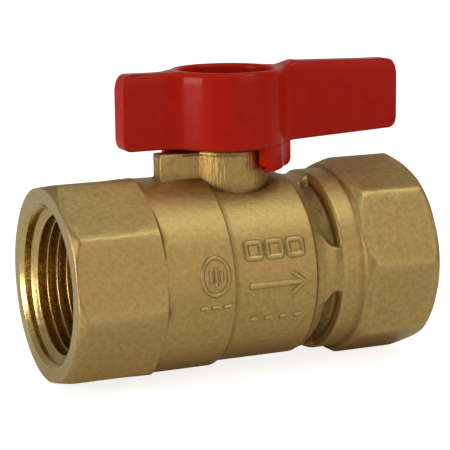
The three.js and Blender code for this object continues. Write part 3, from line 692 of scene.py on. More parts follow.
# %% [markdown]
# The plates aren't level with the hub: the long one stands a millimetre over the rim, with a low hump where
# it starts, and falls a little to its tip, and the short one sits lower. Their ends are rounded seen from
# the side. Both are heights for each distance along the pipe, and every point of the upper or the lower
# surface asks for its own height, so the shape stays smooth where plate and hub meet.

# %% Lever surface
RIM_TOP = lever_high[2] - 1.0
WEB_LOW, WEB_HIGH = 30.8, 33.9
hub_low = boss_top + 0.4
END_ROUND = 2.2


def end_round(x, amount):
    """How far the plates' edges draw in close to their ends: a quarter circle seen from the side."""
    near = np.minimum(LONG_ARM - x, x + SHORT_ARM)
    inside = np.clip((amount - near) / amount, 0, 1)
    return amount * (1 - np.sqrt(1 - inside ** 2))


def lever_top(x):
    long_plate = 0.82 * smooth_step(x, HUB_R, HUB_R + 3.2) - 0.5 * smooth_step(x, HUB_R + 4, LONG_ARM)
    hump = 0.18 * np.exp(-(((x - 16.0) / 1.0) ** 2))
    short_plate = -0.2 * smooth_step(-x, HUB_R - 0.5, HUB_R + 3)
    return RIM_TOP + long_plate + hump + short_plate - end_round(x, END_ROUND)


def lever_bottom(x):
    rise = 1.3 * np.clip((x - HUB_R) / (LONG_ARM - HUB_R), 0, 1)
    return hub_low + rise + end_round(x, END_ROUND * 0.8)


def lever_grid():
    angle = lever_angles()
    plan = lever_plan(angle)
    cosine, sine = np.cos(angle), np.sin(angle)
    px, py = plan * cosine, plan * sine
    nx, ny = normals_of(px, py)
    hole = np.minimum(4.75, 3.35 / np.maximum(np.abs(sine), 1e-6))
    rows = []

    def add(x, y, z, edge=0.0):
        rows.append(np.stack([x, y, z, edge + 0 * x]))

    def circle(radius, z, edge=0.0):
        add(radius * cosine, radius * sine, z + 0 * angle, edge)

    for t in np.linspace(0, 1, 7):
        add((hole + t * (CUP_R - 0.8 - hole)) * cosine, (hole + t * (CUP_R - 0.8 - hole)) * sine, WEB_HIGH + 0 * angle)
    for a in np.linspace(0, np.pi / 2, 5)[1:]:
        circle(CUP_R - 0.8 + 0.8 * np.sin(a), WEB_HIGH + 0.8 * (1 - np.cos(a)))
    lip = 0.8
    for z in np.linspace(WEB_HIGH + 0.8, RIM_TOP - lip, 10)[1:]:
        circle(CUP_R, z)
    for a in np.linspace(0, np.pi / 2, 7)[1:]:
        radius = CUP_R + lip * (1 - np.cos(a))
        x = radius * cosine
        circle(radius, lever_top(x) - lip * (1 - np.sin(a)), 1.0)
    edge_r = 1.15
    ix, iy = px - nx * edge_r, py - ny * edge_r
    start = CUP_R + lip
    share = np.concatenate([np.linspace(0, 0.8, 26)[1:], np.linspace(0.8, 1, 16)[1:-1]])
    for t in share:
        x, y = (1 - t) * start * cosine + t * ix, (1 - t) * start * sine + t * iy
        add(x, y, lever_top(x))
    for a in np.linspace(0, np.pi / 2, 8):
        x, y = px - nx * edge_r * (1 - np.sin(a)), py - ny * edge_r * (1 - np.sin(a))
        add(x, y, lever_top(x) - edge_r * (1 - np.cos(a)), 1.0)
    under = 0.55
    for t in np.linspace(0, 1, 14)[1:-1]:
        high, low = lever_top(px) - edge_r, lever_bottom(px) + under
        add(px, py, high + t * (low - high))
    for a in np.linspace(0, np.pi / 2, 6):
        x, y = px - nx * under * (1 - np.cos(a)), py - ny * under * (1 - np.cos(a))
        add(x, y, lever_bottom(x) + under * (1 - np.sin(a)), 0.8)
    ix, iy = px - nx * under, py - ny * under
    for t in np.concatenate([np.linspace(0, 0.2, 12)[1:], np.linspace(0.2, 1, 20)[1:]]):
        x, y = (1 - t) * ix + t * (CUP_R + 0.3) * cosine, (1 - t) * iy + t * (CUP_R + 0.3) * sine
        add(x, y, lever_bottom(x))
    circle(CUP_R, hub_low + 0.3)
    circle(CUP_R, WEB_LOW - 0.3)
    circle(CUP_R - 0.3, WEB_LOW)
    add(hole * cosine, hole * sine, WEB_LOW + 0 * angle)
    x, y, z, edge = np.stack(rows, 1)
    return patch(x, y, z, edge=edge)


# %% [markdown]
# Two tabs hang from the hub and stop against the lug, one when the valve is open and one when it is shut.
# Each is an upright slab with a curved plan: its outline is followed by a wall that turns under with a small
# radius, and its lower corners are rounded seen from the side.

# %% Stop tabs
TAB_DROP = 5.2
TAB_EDGE_R = 0.8
TAB_INNER_R = 9.2


def tab(outer_angles, heel, inner_angles, edge_r=0.55):
    """A slab below the hub, between the lever's side and an inner circle, closed at top and bottom by fans.
    heel is the plan corner at the end of the side, under the plate."""
    outer = np.column_stack([lever_plan(outer_angles) * np.cos(outer_angles), lever_plan(outer_angles) * np.sin(outer_angles)])
    inner = TAB_INNER_R * np.column_stack([np.cos(inner_angles), np.sin(inner_angles)])
    corners = np.vstack([outer, heel, inner[::-1]])
    rounding = np.zeros(len(corners))
    rounding[[0, len(outer) - 1, len(outer), -1]] = 0.9
    px, py, _ = outline(np.column_stack([corners, rounding + 1e-3]), step=0.5, arc=4)
    centre = np.array([px.mean(), py.mean()])
    area = np.sum(px * np.roll(py, -1) - py * np.roll(px, -1))
    nx, ny = normals_of(px, py)
    nx, ny = (nx, ny) if area > 0 else (-nx, -ny)
    low_x, high_x = px.min(), px.max()

    def foot(x):
        near = np.minimum(x - low_x, high_x - x)
        inside = np.clip((1.2 - near) / 1.2, 0, 1)
        return hub_low - TAB_DROP + 1.2 * (1 - np.sqrt(1 - inside ** 2))

    rows = [(centre[0] + 0 * px, centre[1] + 0 * px, hub_low + 0.6 + 0 * px, 0 * px),
            (px - nx * 0.1, py - ny * 0.1, hub_low + 0.6 + 0 * px, 0 * px)]
    rows += [(px, py, hub_low + 0.5 + t * (foot(px) + TAB_EDGE_R - hub_low - 0.5), 0 * px) for t in np.linspace(0, 1, 8)]
    for a in np.linspace(0, np.pi / 2, 5)[1:]:
        x, y = px - nx * TAB_EDGE_R * (1 - np.cos(a)), py - ny * TAB_EDGE_R * (1 - np.cos(a))
        rows.append((x, y, foot(px) + TAB_EDGE_R * (1 - np.sin(a)), 1 + 0 * px))
    rows += [(centre[0] + 0 * px, centre[1] + 0 * px, hub_low - TAB_DROP + 0 * px, 0 * px)]
    x, y, z, edge = (np.array(a) for a in zip(*rows))
    return patch(x, y, z, wrap_rows=False, edge=edge)


def stop_tabs():
    near, far = LUG_FRONT + 0.1, 13.9
    first = -np.arccos(near / HUB_R)
    last = -np.arctan2(fillet_y - np.sqrt(FILLET_R ** 2 - (fillet_x - far) ** 2), far)
    inner = np.linspace(-np.arccos(near / TAB_INNER_R), -np.arcsin(1.2 / TAB_INNER_R), 30)
    front = tab(np.linspace(first, last, 40), (far, -1.2), inner)
    side = LUG_BACK + 0.1
    start = np.arcsin(8.6 / HUB_R)
    inner = np.pi - np.linspace(np.arcsin(8.0 / TAB_INNER_R), np.arcsin(side / TAB_INNER_R), 24)
    rear = tab(np.pi - np.linspace(start, -last, 34), (-far, side), inner)
    return [front, rear]


lever = show("valve_lever", mesh_of("valve_lever", [lever_grid()] + stop_tabs()), "lever", "red_enamel")

# %% [markdown]
# ## Ball, seats and stem
# The ball is a sphere with a bore, made as one outline about the pipe axis: an arc over the outside and a
# straight line back through the bore. The stem's tang drives it by a slot across its top. In this grid a
# slot is simple: every point closer to the middle than half its width is lowered to its floor.

# %% Ball
SLOT_FLOOR_Z = BORE_R + 1.6
SLOT_HALF = 2.7


def ball_patch():
    """Radius sqrt(R^2 - x^2) outside and the bore inside, with the slot pressed down from the top."""
    reach_x = float(np.sqrt(BALL_R ** 2 - BORE_R ** 2))
    lip = 0.25
    x = np.sort(np.concatenate([np.linspace(-reach_x + lip, reach_x - lip, 90),
                                [-SLOT_HALF - 0.03, -SLOT_HALF, SLOT_HALF, SLOT_HALF + 0.03]]))
    outside = np.column_stack([x, np.sqrt(BALL_R ** 2 - x ** 2)])
    bore = np.linspace(reach_x - lip, -reach_x + lip, 30)
    rows = np.vstack([outside, [[reach_x, BORE_R + 0.12]], np.column_stack([bore, BORE_R + 0 * bore]), [[-reach_x, BORE_R + 0.12]]])
    angle = spokes(240)
    px, py, pz = about_pipe(rows[:, :1] + 0 * angle, rows[:, 1:] + 0 * angle, angle)
    slot = (np.abs(px) <= SLOT_HALF + 0.001) & (rows[:, 1:] > BORE_R + 0.5)
    pz = np.where(slot, np.minimum(pz, SLOT_FLOOR_Z), pz)
    return patch(px, py, pz, edge=0.0 * px)


ball = show("ball_fine", mesh_of("ball_fine", [ball_patch()]), "ball", "chrome_plate")

# %% [markdown]
# A seat is a ring of white plastic whose inner face follows the ball. Both seats share one outline, and the
# body's is the cap's with its distances negated.

# %% Seats


def seat_corners(side):
    r = np.linspace(BORE_R, BALL_R - 2, 9)
    face = [(float(np.sqrt(16.2 ** 2 - v ** 2)) + 0.1, float(v), 0.04) for v in r]
    back = float(np.sqrt(16.1 ** 2 - BORE_R ** 2)) + 1.5
    corners = face + [(face[-1][0], 15.5, 0.1), (back, 15.5, 0.15), (back, BORE_R, 0.15)]
    return [(side * x, radius, k) for x, radius, k in corners]


seats = {}
for node, side in (("cap_seat", 1), ("body_seat", -1)):
    seats[node] = show(node + "_fine", mesh_of(node + "_fine", [turned(seat_corners(side), about_pipe, 180)]), node, "ptfe")

# %% [markdown]
# The stem is turned too: a head that can't be blown out of the body, a groove for its ring, and a reduced end
# for the nut. Two flats drive the lever. They are milled after turning, and here the points between two
# heights are held within the flats' distance from the middle.

# %% Stem


def stem_patches():
    z0, z1 = 16.3, stem_high[2]
    lower = [(z0, 0, 0), (z0, 5.7, 0.2), (z0 + 0.9, 5.7, 0.2), (z0 + 0.9, 4.6, 0.1), (18.35, 4.6, 0.1)]
    groove = [(18.35, 3.4, 0.2), (19.85, 3.4, 0.2), (19.85, 4.6, 0.1)]
    upper = [(30.68, 4.6, 0), (30.72, 4.6, 0), (WEB_HIGH, 4.6, 0.2), (WEB_HIGH, 3.9, 0.1)]
    tip = [(z1 - 0.65, 3.9, 0.15), (z1, 3.25, 0.15), (z1, 0, 0)]
    along, radius, edge = (a[:, None] for a in outline(lower + groove + upper + tip, step=0.5))
    angle = spokes(120)
    x, y, z = about_stem(along + 0 * angle, radius + 0 * angle, angle)
    y = np.where(z > 30.7, np.clip(y, -3.2, 3.2), y)
    shaft = patch(x, y, z, wrap_rows=False, edge=edge, turned=1.0 + 0 * x)
    tang_half = (2.4, 5.0)
    corner = np.linspace(0, 2 * np.pi, 64, endpoint=False) + np.pi / 64
    block = ring_path(0, 0, *tang_half, power=14.0, count=64)
    heights = np.array([12.9, 12.9, 13.05, 16.4, 16.4])[:, None]
    scale = np.array([0, 0.96, 1, 1, 0])[:, None]
    tang = patch(block[:, 0] * scale, block[:, 1] * scale, heights + 0 * corner, wrap_rows=False, turned=1.0 + 0 * scale)
    return [shaft, tang]


stem = show("stem_fine", mesh_of("stem_fine", stem_patches()), "stem", "turned_brass")

# %% [markdown]
# Nuts are hexagons met by a turned blank: the chamfers on their ends come from a lathe, and that is why the
# faces end in arcs. The same rule as for the octagons makes them: a turned outline, held under the
# distance to the six flats.

# %% Nuts and washer


def hexagon(angle, across):
    from_flat = np.mod(angle, np.pi / 3) - np.pi / 6
    return across / 2 / np.cos(from_flat)


def nut_patch(corners, across, count=216, step=0.5):
    along, radius, edge = (a[:, None] for a in outline(corners, step))
    angle = spokes(count)
    flats = hexagon(angle, across)
    held = np.where(radius > across / 2 - 0.6, soft_min(radius, flats, 0.06), radius)
    ridge = np.exp(-(((flats - radius) / 0.2) ** 2)) * (radius > across / 2 - 0.3)
    x, y, z = about_stem(along + 0 * angle, held + 0 * angle, angle)
    return patch(x, y, z, edge=np.maximum(edge + 0 * angle, ridge), turned=(radius < across / 2 - 0.6) * 1.0)


def hex_corners(across, low, high, bore):
    corner = across / 2 / np.cos(np.pi / 6)
    cut = (corner - across / 2) * 0.8
    return [(low, bore, 0.25), (low, across / 2 - 0.05, 0.1), (low + cut, corner, 0.1),
            (high - cut, corner, 0.1), (high, across / 2 - 0.05, 0.1), (high, bore, 0.25)]


nut_low, nut_high = reach("lever_nut")
nut_mesh = mesh_of("nut_fine", [nut_patch(hex_corners(13.0, nut_low[2], nut_high[2], 4.0), 13.0)])
nut = show("nut_fine", nut_mesh, "lever_nut", "zinc_steel")

washer_low, washer_high = reach("lever_washer")
w0, w1 = washer_low[2], washer_high[2]
washer_corners = [(w0, 4.0, 0.15), (w0, 7.4, 0.2), (w1, 7.4, 0.3), (w1, 4.0, 0.15)]
washer = show("washer_fine", mesh_of("washer_fine", [turned(washer_corners, about_stem, 150, 0.4)]), "lever_washer", "zinc_steel")

gland_low, gland_high = reach("gland_nut")
hex_low = boss_top + 0.3
gland_corners = hex_corners(15.0, hex_low, gland_high[2], 4.8)[2:] + [
    (gland_low[2], 4.8, 0.1), (gland_low[2], 6.4, 0.15), (hex_low, 6.4, 0.1), (hex_low, 7.45, 0.1)]
gland_nut = show("gland_nut_fine", mesh_of("gland_nut_fine", [nut_patch(gland_corners, 15.0)]), "gland_nut", "turned_brass")

# %% [markdown]
# ## Finishes
# Every finish is made of nodes that read Object coordinates, so it needs no unwrapping and stays in place when
# the lever turns. Effects that several finishes share are node groups: each is built once and placed in a
# material with values of its own. The groups give only colours and numbers that change over the surface,
# and the shader stays in the material.

# %% Node helpers


def link(tree, source, target):
    tree.links.new(source, target)


def node(tree, kind, **settings):
    made = tree.nodes.new(kind)
    for key, value in settings.items():
        setattr(made, key, value)
    return made


def sum_of(tree, operation, a, b, clamp=False):
    """A Math node whose inputs are numbers or sockets."""
    made = node(tree, "ShaderNodeMath", operation=operation, use_clamp=clamp)
    for socket, value in zip(made.inputs, (a, b)):
        if isinstance(value, (int, float)):
            socket.default_value = value
        else:
            link(tree, value, socket)
    return made.outputs[0]


def noise(tree, vector, scale, detail=3.0, roughness=0.55, stretch=None):
    """A noise texture in millimetres: scale is features per millimetre."""
    if stretch:
        turn = node(tree, "ShaderNodeMapping")
        turn.inputs["Scale"].default_value = stretch
        link(tree, vector, turn.inputs["Vector"])
        vector = turn.outputs[0]
    made = node(tree, "ShaderNodeTexNoise")
    made.inputs["Scale"].default_value = scale
    made.inputs["Detail"].default_value = detail
    made.inputs["Roughness"].default_value = roughness
    link(tree, vector, made.inputs["Vector"])
    return made.outputs[0]


def spread(tree, value, low, high, new_low=0.0, new_high=1.0):
    made = node(tree, "ShaderNodeMapRange")
    for name, number in (("From Min", low), ("From Max", high), ("To Min", new_low), ("To Max", new_high)):
        made.inputs[name].default_value = number
    link(tree, value, made.inputs["Value"])
    return made.outputs[0]


def blend_colours(tree, factor, a, b, mode="MIX"):
    made = node(tree, "ShaderNodeMix", data_type="RGBA", blend_type=mode, clamp_factor=True)
    for socket, value in ((made.inputs[0], factor), (made.inputs[6], a), (made.inputs[7], b)):
        if isinstance(value, (int, float)):
            socket.default_value = value
        elif isinstance(value, tuple):
            socket.default_value = (*value, 1)
        else:
            link(tree, value, socket)
    return made.outputs[2]


def group_of(name, inputs, outputs):
    """An empty node group with named sockets, each ("name", kind, default)."""
    tree = bpy.data.node_groups.new(name, "ShaderNodeTree")
    for label, kind, default in inputs:
        socket = tree.interface.new_socket(label, in_out="INPUT", socket_type="NodeSocket" + kind)
        if default is not None:
            socket.default_value = default
    for label, kind in outputs:
        tree.interface.new_socket(label, in_out="OUTPUT", socket_type="NodeSocket" + kind)
    return tree, node(tree, "NodeGroupInput").outputs, node(tree, "NodeGroupOutput").inputs


def place(tree, group, **values):
    """A group in a material, its inputs set by name with underscores for spaces."""
    made = node(tree, "ShaderNodeGroup", node_tree=group)
    for key, value in values.items():
        socket = made.inputs[key.replace("_", " ")]
        if isinstance(value, (int, float)):
            socket.default_value = value
        elif isinstance(value, tuple):
            socket.default_value = (*value, 1)
        else:
            link(tree, value, socket)
    return made.outputs


# %% [markdown]
# **Skin** is the relief of a cast or forged surface: fine grain over slow waves. Noise at two sizes does
# it, and the two strengths let one group serve a forging, thick paint and plating.

# %% Skin group
skin_group, given, result = group_of(
    "Skin relief",
    [("Place", "Vector", None), ("Grain", "Float", 0.5), ("Waves", "Float", 0.5), ("Grain size", "Float", 1.0)],
    [("Height", "Float"), ("Mottle", "Float")],
)
t = skin_group
fine_scale = node(t, "ShaderNodeVectorMath", operation="SCALE")
link(t, given["Place"], fine_scale.inputs[0])
link(t, sum_of(t, "DIVIDE", 1.0, given["Grain size"]), fine_scale.inputs["Scale"])
fine = noise(t, fine_scale.outputs[0], 2.6, 4.0, 0.6)
broad = noise(t, given["Place"], 0.33, 2.0, 0.5)
height = sum_of(t, "ADD", sum_of(t, "MULTIPLY", fine, given["Grain"]), sum_of(t, "MULTIPLY", broad, given["Waves"]))
link(t, height, result["Height"])
link(t, spread(t, noise(t, fine_scale.outputs[0], 0.9, 4.0, 0.62), 0.3, 0.7), result["Mottle"])

# %% [markdown]
# **Tool lines** are the rings a lathe leaves. Distance along the pipe plus distance from it gives lines that
# run round a cone, a face and a cylinder alike. Noise stretched round the part breaks them up, as a
# chattering tool does.

# %% Tool line group
lines_group, given, result = group_of(
    "Tool lines", [("Place", "Vector", None), ("Lines per mm", "Float", 4.0)], [("Height", "Float")]
)
t = lines_group
split = node(t, "ShaderNodeSeparateXYZ")
link(t, given["Place"], split.inputs[0])
flat = node(t, "ShaderNodeCombineXYZ")
link(t, split.outputs[1], flat.inputs[1])
link(t, split.outputs[2], flat.inputs[2])
away = node(t, "ShaderNodeVectorMath", operation="LENGTH")
link(t, flat.outputs[0], away.inputs[0])
across = sum_of(t, "ADD", split.outputs[0], away.outputs["Value"])
wobble = sum_of(t, "MULTIPLY", noise(t, given["Place"], 0.6, 2.0), 0.5)
turns = sum_of(t, "MULTIPLY", sum_of(t, "ADD", across, wobble), sum_of(t, "MULTIPLY", given["Lines per mm"], 6.2832))
fade = spread(t, noise(t, given["Place"], 1.4, 2.0), 0.35, 0.6)
wave = sum_of(t, "MULTIPLY", sum_of(t, "SINE", turns, 0.0), 0.5)
link(t, sum_of(t, "MULTIPLY", wave, fade), result["Height"])

# %% [markdown]
# ** Wear and painted shade**: edges rub bright, and hollows, creases and joints are darkened with painted shade
# in a dark tone. Each piece carries two numbers at every point, `edge` and `hollow`, worked out with its shape.
# Noise eats into both, so that neither has a clean border.

# %% Wear and painted shade group
wear_and_shade_group, given, result = group_of(
    "Wear and painted shade",
    [("Place", "Vector", None), ("Colour", "Color", (0.5, 0.5, 0.5, 1)), ("Rubbed", "Color", (1, 1, 1, 1)),
     ("Tarnish", "Color", (0, 0, 0, 1)), ("Edge", "Float", 0.0), ("Hollow", "Float", 0.0), ("Wear", "Float", 0.6)],
    [("Colour", "Color"), ("Wear mask", "Float"), ("Painted shade mask", "Float")],
)
t = wear_and_shade_group
bite = spread(t, noise(t, given["Place"], 1.1, 3.0), 0.35, 0.65, 0.35, 1.0)
worn = sum_of(t, "MULTIPLY", sum_of(t, "MULTIPLY", given["Edge"], bite), given["Wear"], clamp=True)
# Painted shade: the hollow value pulls the colour towards the dark shade colour, standing in for the shade that falls
# in recesses.
painted_shade = sum_of(t, "MULTIPLY", given["Hollow"], spread(t, noise(t, given["Place"], 0.8, 3.0), 0.3, 0.7, 0.55, 1.0), clamp=True)
shaded_colour = blend_colours(t, painted_shade, given["Colour"], given["Tarnish"])
link(t, blend_colours(t, worn, shaded_colour, given["Rubbed"]), result["Colour"])
link(t, worn, result["Wear mask"])
link(t, painted_shade, result["Painted shade mask"])

# %% [markdown]
# A material starts with the same three things: the place in millimetres, the piece's own point values, and a
# Principled shader with the numbers that are the same all over.

# %% Material start


def start_material(name, **constants):
    material = bpy.data.materials.new(name)
    material.use_nodes = True
    tree = material.node_tree
    tree.nodes.clear()
    shader, output = node(tree, "ShaderNodeBsdfPrincipled"), node(tree, "ShaderNodeOutputMaterial")
    link(tree, shader.outputs[0], output.inputs[0])
    for key, value in constants.items():
        shader.inputs[key.replace("_", " ")].default_value = value
    scale = node(tree, "ShaderNodeVectorMath", operation="SCALE")
    scale.inputs["Scale"].default_value = 1000
    link(tree, node(tree, "ShaderNodeTexCoord").outputs["Object"], scale.inputs[0])
    return material, tree, shader, scale.outputs[0]


def field(tree, name):
    return node(tree, "ShaderNodeAttribute", attribute_name=name).outputs["Fac"]


def relief(tree, shader, height, depth_mm, strength=1.0):
    bump = node(tree, "ShaderNodeBump")
    bump.inputs["Distance"].default_value = depth_mm * MM
    bump.inputs["Strength"].default_value = strength
    link(tree, height, bump.inputs["Height"])
    link(tree, bump.outputs[0], shader.inputs["Normal"])


# %% [markdown]
# **Forged brass.** The skin of a hot forging is satin, a little mottled, and browner than cut metal. The port
# faces, the bores and the cone were turned afterwards, so where `turned` is 1 the grain gives way to tool
# lines and the metal is smoother and yellower.

# %% Forged brass
BRASS = (0.60, 0.385, 0.120)
BRASS_PALE = (0.68, 0.460, 0.175)
BRASS_DARK = (0.46, 0.285, 0.080)
BRASS_CUT = (0.74, 0.52, 0.20)
# Painted shade: the dark brown that hollows, creases and joints are darkened towards.
SHADE_BROWN = (0.13, 0.070, 0.018)


def brass(name, cut_only=False):
    material, tree, shader, place_mm = start_material(name, Metallic=1.0)
    turned_part = 1.0 if cut_only else field(tree, "turned")
    skin = place(tree, skin_group, Place=place_mm, Grain=1.3, Waves=1.6, Grain_size=0.9)
    lines = place(tree, lines_group, Place=place_mm, Lines_per_mm=1.8)
    tone = blend_colours(tree, skin["Mottle"], BRASS_DARK, BRASS_PALE)
    tone = blend_colours(tree, 0.25, tone, BRASS)
    tone = blend_colours(tree, turned_part, tone, BRASS_CUT)
    used = place(tree, wear_and_shade_group, Place=place_mm, Colour=tone, Rubbed=(0.80, 0.59, 0.27), Tarnish=SHADE_BROWN,
                 Edge=field(tree, "edge"), Hollow=field(tree, "hollow"), Wear=0.45)
    link(tree, used["Colour"], shader.inputs["Base Color"])
    streaks = noise(tree, place_mm, 1.5, 3.0, stretch=(1.0, 1.0, 0.12))
    streak = sum_of(tree, "MULTIPLY", streaks, field(tree, "streak"))
    forged = sum_of(tree, "ADD", skin["Height"], sum_of(tree, "MULTIPLY", streak, 5.0))
    mix = node(tree, "ShaderNodeMix", data_type="FLOAT")
    if cut_only:
        mix.inputs[0].default_value = 0.85
    else:
        link(tree, sum_of(tree, "MULTIPLY", turned_part, 0.85), mix.inputs[0])
    link(tree, forged, mix.inputs[2])
    link(tree, sum_of(tree, "MULTIPLY", lines["Height"], 0.35), mix.inputs[3])
    relief(tree, shader, mix.outputs[0], 0.07)
    rough = spread(tree, skin["Mottle"], 0, 1, 0.36, 0.5)
    rough = sum_of(tree, "SUBTRACT", rough, sum_of(tree, "MULTIPLY", used["Wear mask"], 0.12))
    rough = sum_of(tree, "ADD", rough, sum_of(tree, "MULTIPLY", used["Painted shade mask"], 0.2))
    if cut_only:
        rough = sum_of(tree, "SUBTRACT", rough, 0.16)
    else:
        rough = sum_of(tree, "SUBTRACT", rough, sum_of(tree, "MULTIPLY", turned_part, 0.18))
    link(tree, rough, shader.inputs["Roughness"])
    return material


forged_brass = brass("forged_brass")
turned_brass = brass("turned_brass", cut_only=True)

# %% [markdown]
# ** Red enamel** over a zinc casting. The paint is thick and glossy, with the faint ripple painters call
# orange peel, a darker red of painted shade wherever a piece carries `hollow` values (the lever carries none),
# and a thin, paler line along the edges.

# %% Red enamel


def enamel():
    material, tree, shader, place_mm = start_material("red_enamel", Specular_IOR_Level=0.03, Coat_Roughness=0.06, Coat_IOR=1.35)
    skin = place(tree, skin_group, Place=place_mm, Grain=0.12, Waves=2.4, Grain_size=2.4)
    tone = blend_colours(tree, skin["Mottle"], (0.50, 0.0080, 0.0001), (0.57, 0.0125, 0.0002))
    # The dark red given below is the tone of painted shade.
    used = place(tree, wear_and_shade_group, Place=place_mm, Colour=tone, Rubbed=(0.56, 0.03, 0.01), Tarnish=(0.12, 0.003, 0.001),
                 Edge=field(tree, "edge"), Hollow=field(tree, "hollow"), Wear=0.30)
    link(tree, used["Colour"], shader.inputs["Base Color"])
    link(tree, spread(tree, skin["Mottle"], 0, 1, 0.26, 0.38), shader.inputs["Roughness"])
    link(tree, spread(tree, skin["Mottle"], 0, 1, 0.42, 0.3), shader.inputs["Coat Weight"])
    relief(tree, shader, skin["Height"], 0.035)
    return material


red_enamel = enamel()

# %% [markdown]
# The remaining finishes are bright plating on the ball, white plastic on the seats and seals, zinc on the
# nut and its washer, and rubber on the stem's ring. Each is a small change on the same groups.

# %% Other finishes


def plain_finish(name, dark, light, rough, metallic=0.0, grain=0.6, waves=0.4, depth=0.01, lines=0.0, size=1.0, wear=0.3):
    material, tree, shader, place_mm = start_material(name, Metallic=metallic)
    skin = place(tree, skin_group, Place=place_mm, Grain=grain, Waves=waves, Grain_size=size)
    tone = blend_colours(tree, skin["Mottle"], dark, light)
    # Painted shade tends towards a third of the dark tone, where a piece has hollow values.
    used = place(tree, wear_and_shade_group, Place=place_mm, Colour=tone, Rubbed=tuple(min(1, 1.2 * c) for c in light),
                 Tarnish=tuple(0.3 * c for c in dark), Edge=field(tree, "edge"), Hollow=field(tree, "hollow"), Wear=wear)
    link(tree, used["Colour"], shader.inputs["Base Color"])
    link(tree, spread(tree, skin["Mottle"], 0, 1, rough[0], rough[1]), shader.inputs["Roughness"])
    cut = place(tree, lines_group, Place=place_mm, Lines_per_mm=3.0)
    total = sum_of(tree, "ADD", skin["Height"], sum_of(tree, "MULTIPLY", cut["Height"], lines))
    relief(tree, shader, total, depth)
    return material


chrome_plate = plain_finish("chrome_plate", (0.60, 0.61, 0.63), (0.72, 0.73, 0.74), (0.06, 0.13), 1.0, 0.3, 0.2, 0.004, 0.6)
ptfe = plain_finish("ptfe", (0.74, 0.73, 0.69), (0.83, 0.82, 0.79), (0.42, 0.55), 0.0, 0.5, 0.5, 0.01, 0.8)
zinc_steel = plain_finish("zinc_steel", (0.45, 0.46, 0.46), (0.62, 0.63, 0.62), (0.24, 0.4), 1.0, 0.9, 0.5, 0.015, 0.4, 0.8)
seal_rubber = plain_finish("seal_rubber", (0.012, 0.012, 0.013), (0.03, 0.03, 0.03), (0.5, 0.7), 0.0, 1.0, 0.4, 0.02)

finishes = {"forged_brass": forged_brass, "turned_brass": turned_brass, "chrome_plate": chrome_plate,
            "red_enamel": red_enamel, "ptfe": ptfe, "zinc_steel": zinc_steel, "seal_rubber": seal_rubber}
print("finishes:", sorted(finishes))

# %% [markdown]
# Each new piece knows its slot. The small rings that stay as the model made them get the same finishes,
# through their own material slots, without a change to their meshes.

# %% Give every piece its finish
for piece in (body, end_cap, lever, ball, stem, nut, washer, gland_nut, *seats.values()):
    piece.data.materials.append(finishes[piece["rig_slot"]])
kept = {"cap_seal": ptfe, "thrust_washer": ptfe, "packing_ring_lower": ptfe, "packing_ring_upper": ptfe,
        "gland_washer": turned_brass, "stem_o_ring": seal_rubber}
for name, finish in kept.items():
    slots = frame["nodes"][name].material_slots
    for slot in slots:
        slot.link = "OBJECT"
        slot.material = finish
print("kept nodes:", sorted(kept))

# %% [markdown]
# ## Table, light and camera
# The valve stands on a pale sheet that curves up behind it, so there is no horizon. Brass shows what is round
# it more than its own colour: a broad lamp above greys the upper facets, a large soft one in front warms the
# flats, one on the left reaches into the near port, and a small one high in front draws a bright line along
# the rounded edges of the lever.

# %% Table
FLOOR_Z = cad_low[2] / MM - 0.15


def table_sheet():
    """A flat run, then a quarter circle up, carried sideways: height 300 (1 - cos a) after 500 mm of table."""
    a = np.linspace(0, np.pi / 2, 24)
    depth = np.concatenate([[-1500, -600, 0, 400], 500 + 400 * np.sin(a), [900, 900]])
    height = np.concatenate([[0, 0, 0, 0], 400 * (1 - np.cos(a)), [900, 2400]])
    width = np.linspace(-2500, 2500, 9)[None, :]
    turn = np.radians(CAMERA_AZIMUTH)
    x = width * np.cos(turn) - depth[:, None] * np.sin(turn)
    y = width * np.sin(turn) + depth[:, None] * np.cos(turn)
    return patch(x, y, FLOOR_Z + height[:, None] + 0 * width, wrap_rows=False, wrap_columns=False)


CAMERA_AZIMUTH = -24.317
floor = bpy.data.objects.new("table", mesh_of("table", [table_sheet()]))
bpy.context.scene.collection.objects.link(floor)
paper, tree, shader, place_mm = start_material("table_paper", Roughness=0.9)
fibre = noise(tree, place_mm, 0.05, 3.0)
link(tree, blend_colours(tree, fibre, (0.93, 0.93, 0.93), (0.97, 0.97, 0.97)), shader.inputs["Base Color"])
seen = node(tree, "ShaderNodeLightPath").outputs["Is Camera Ray"]
link(tree, blend_colours(tree, seen, (0, 0, 0), (0.80, 0.80, 0.80)), shader.inputs["Emission Color"])
shader.inputs["Emission Strength"].default_value = 1.0
floor.data.materials.append(paper)

# %% Lamps


def softbox(name, azimuth, elevation, distance, size, power, colour, aim=(0, 0, 10)):
    """A square lamp at an angle round the valve and above the table, turned to face it."""
    a, e = np.radians(azimuth), np.radians(elevation)
    back = Vector((np.sin(a) * np.cos(e), -np.cos(a) * np.cos(e), np.sin(e)))
    lamp = bpy.data.lights.new(name, "AREA")
    lamp.shape, lamp.size, lamp.size_y = "RECTANGLE", size[0] * MM, size[1] * MM
    lamp.energy, lamp.color = power, colour
    holder = bpy.data.objects.new(name, lamp)
    holder.location = Vector(aim) * MM + back * distance * MM
    holder.rotation_mode = "QUATERNION"
    holder.rotation_quaternion = back.to_track_quat("Z", "Y")
    bpy.context.scene.collection.objects.link(holder)
    return holder


softbox("top_lamp", 30, 72, 620, (620, 460), 0.80, (0.56, 0.86, 0.98))
softbox("front_lamp", 22, 16, 650, (520, 420), 0.51, (1.0, 0.95, 0.88))
softbox("left_lamp", -88, 7, 600, (380, 240), 1.9, (1.0, 0.97, 0.92), aim=(-42, 0, 0))
softbox("glint_lamp", 50, 58, 560, (90, 40), 0.35, (1.0, 0.98, 0.96))

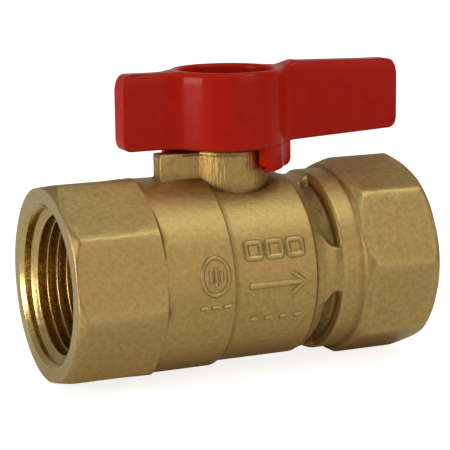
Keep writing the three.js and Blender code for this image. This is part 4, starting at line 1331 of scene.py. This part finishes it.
world = bpy.data.worlds.new("studio")
bpy.context.scene.world = world
world.use_nodes = True
tree = world.node_tree
background = tree.nodes["Background"]
ray = node(tree, "ShaderNodeLightPath")
link(tree, blend_colours(tree, ray.outputs["Is Camera Ray"], (0.235, 0.235, 0.235), (1.0, 1.0, 1.0)), background.inputs["Color"])
background.inputs["Strength"].default_value = 1.0

# %% [markdown]
# The camera stands to the left of the front and a little above, with a long lens, as for a catalogue
# picture. Its two directions across the picture come from the azimuth and the elevation, then turn
# by a small roll.

# %% Camera
CAMERA_ELEVATION = 10.819
CAMERA_ROLL = -0.644
CAMERA_DISTANCE = 381.5
CAMERA_TARGET = (-0.586, 0.0, 9.182)
CAMERA_LENS = 36 * 1762.3 / 450

a, e, roll = np.radians([CAMERA_AZIMUTH, CAMERA_ELEVATION, CAMERA_ROLL])
back = Vector((np.sin(a) * np.cos(e), -np.cos(a) * np.cos(e), np.sin(e)))
level = Vector((np.cos(a), np.sin(a), 0))
upright = back.cross(level)
right_axis = level * float(np.cos(roll)) + upright * float(np.sin(roll))
up_axis = upright * float(np.cos(roll)) - level * float(np.sin(roll))
camera_data = bpy.data.cameras.new("camera")
camera_data.lens, camera_data.sensor_width = CAMERA_LENS, 36
camera_data.clip_start, camera_data.clip_end = 0.01, 20
camera = bpy.data.objects.new("camera", camera_data)
camera.matrix_world = Matrix((
    (right_axis[0], up_axis[0], back[0], CAMERA_TARGET[0] * MM + back[0] * CAMERA_DISTANCE * MM),
    (right_axis[1], up_axis[1], back[1], CAMERA_TARGET[1] * MM + back[1] * CAMERA_DISTANCE * MM),
    (right_axis[2], up_axis[2], back[2], CAMERA_TARGET[2] * MM + back[2] * CAMERA_DISTANCE * MM),
    (0, 0, 0, 1),
))
bpy.context.scene.collection.objects.link(camera)
bpy.context.scene.camera = camera
bpy.context.scene.view_settings.view_transform = "Standard"
print("camera lens", round(CAMERA_LENS, 1), "mm")

# %% [markdown]
# ## The model's box
# The surfaces must stay inside the model's own box. The last line prints that box, in millimetres.

# %% Print the model's box
print("cad", [round(v / MM, 2) for v in (*cad_low, *cad_high)])
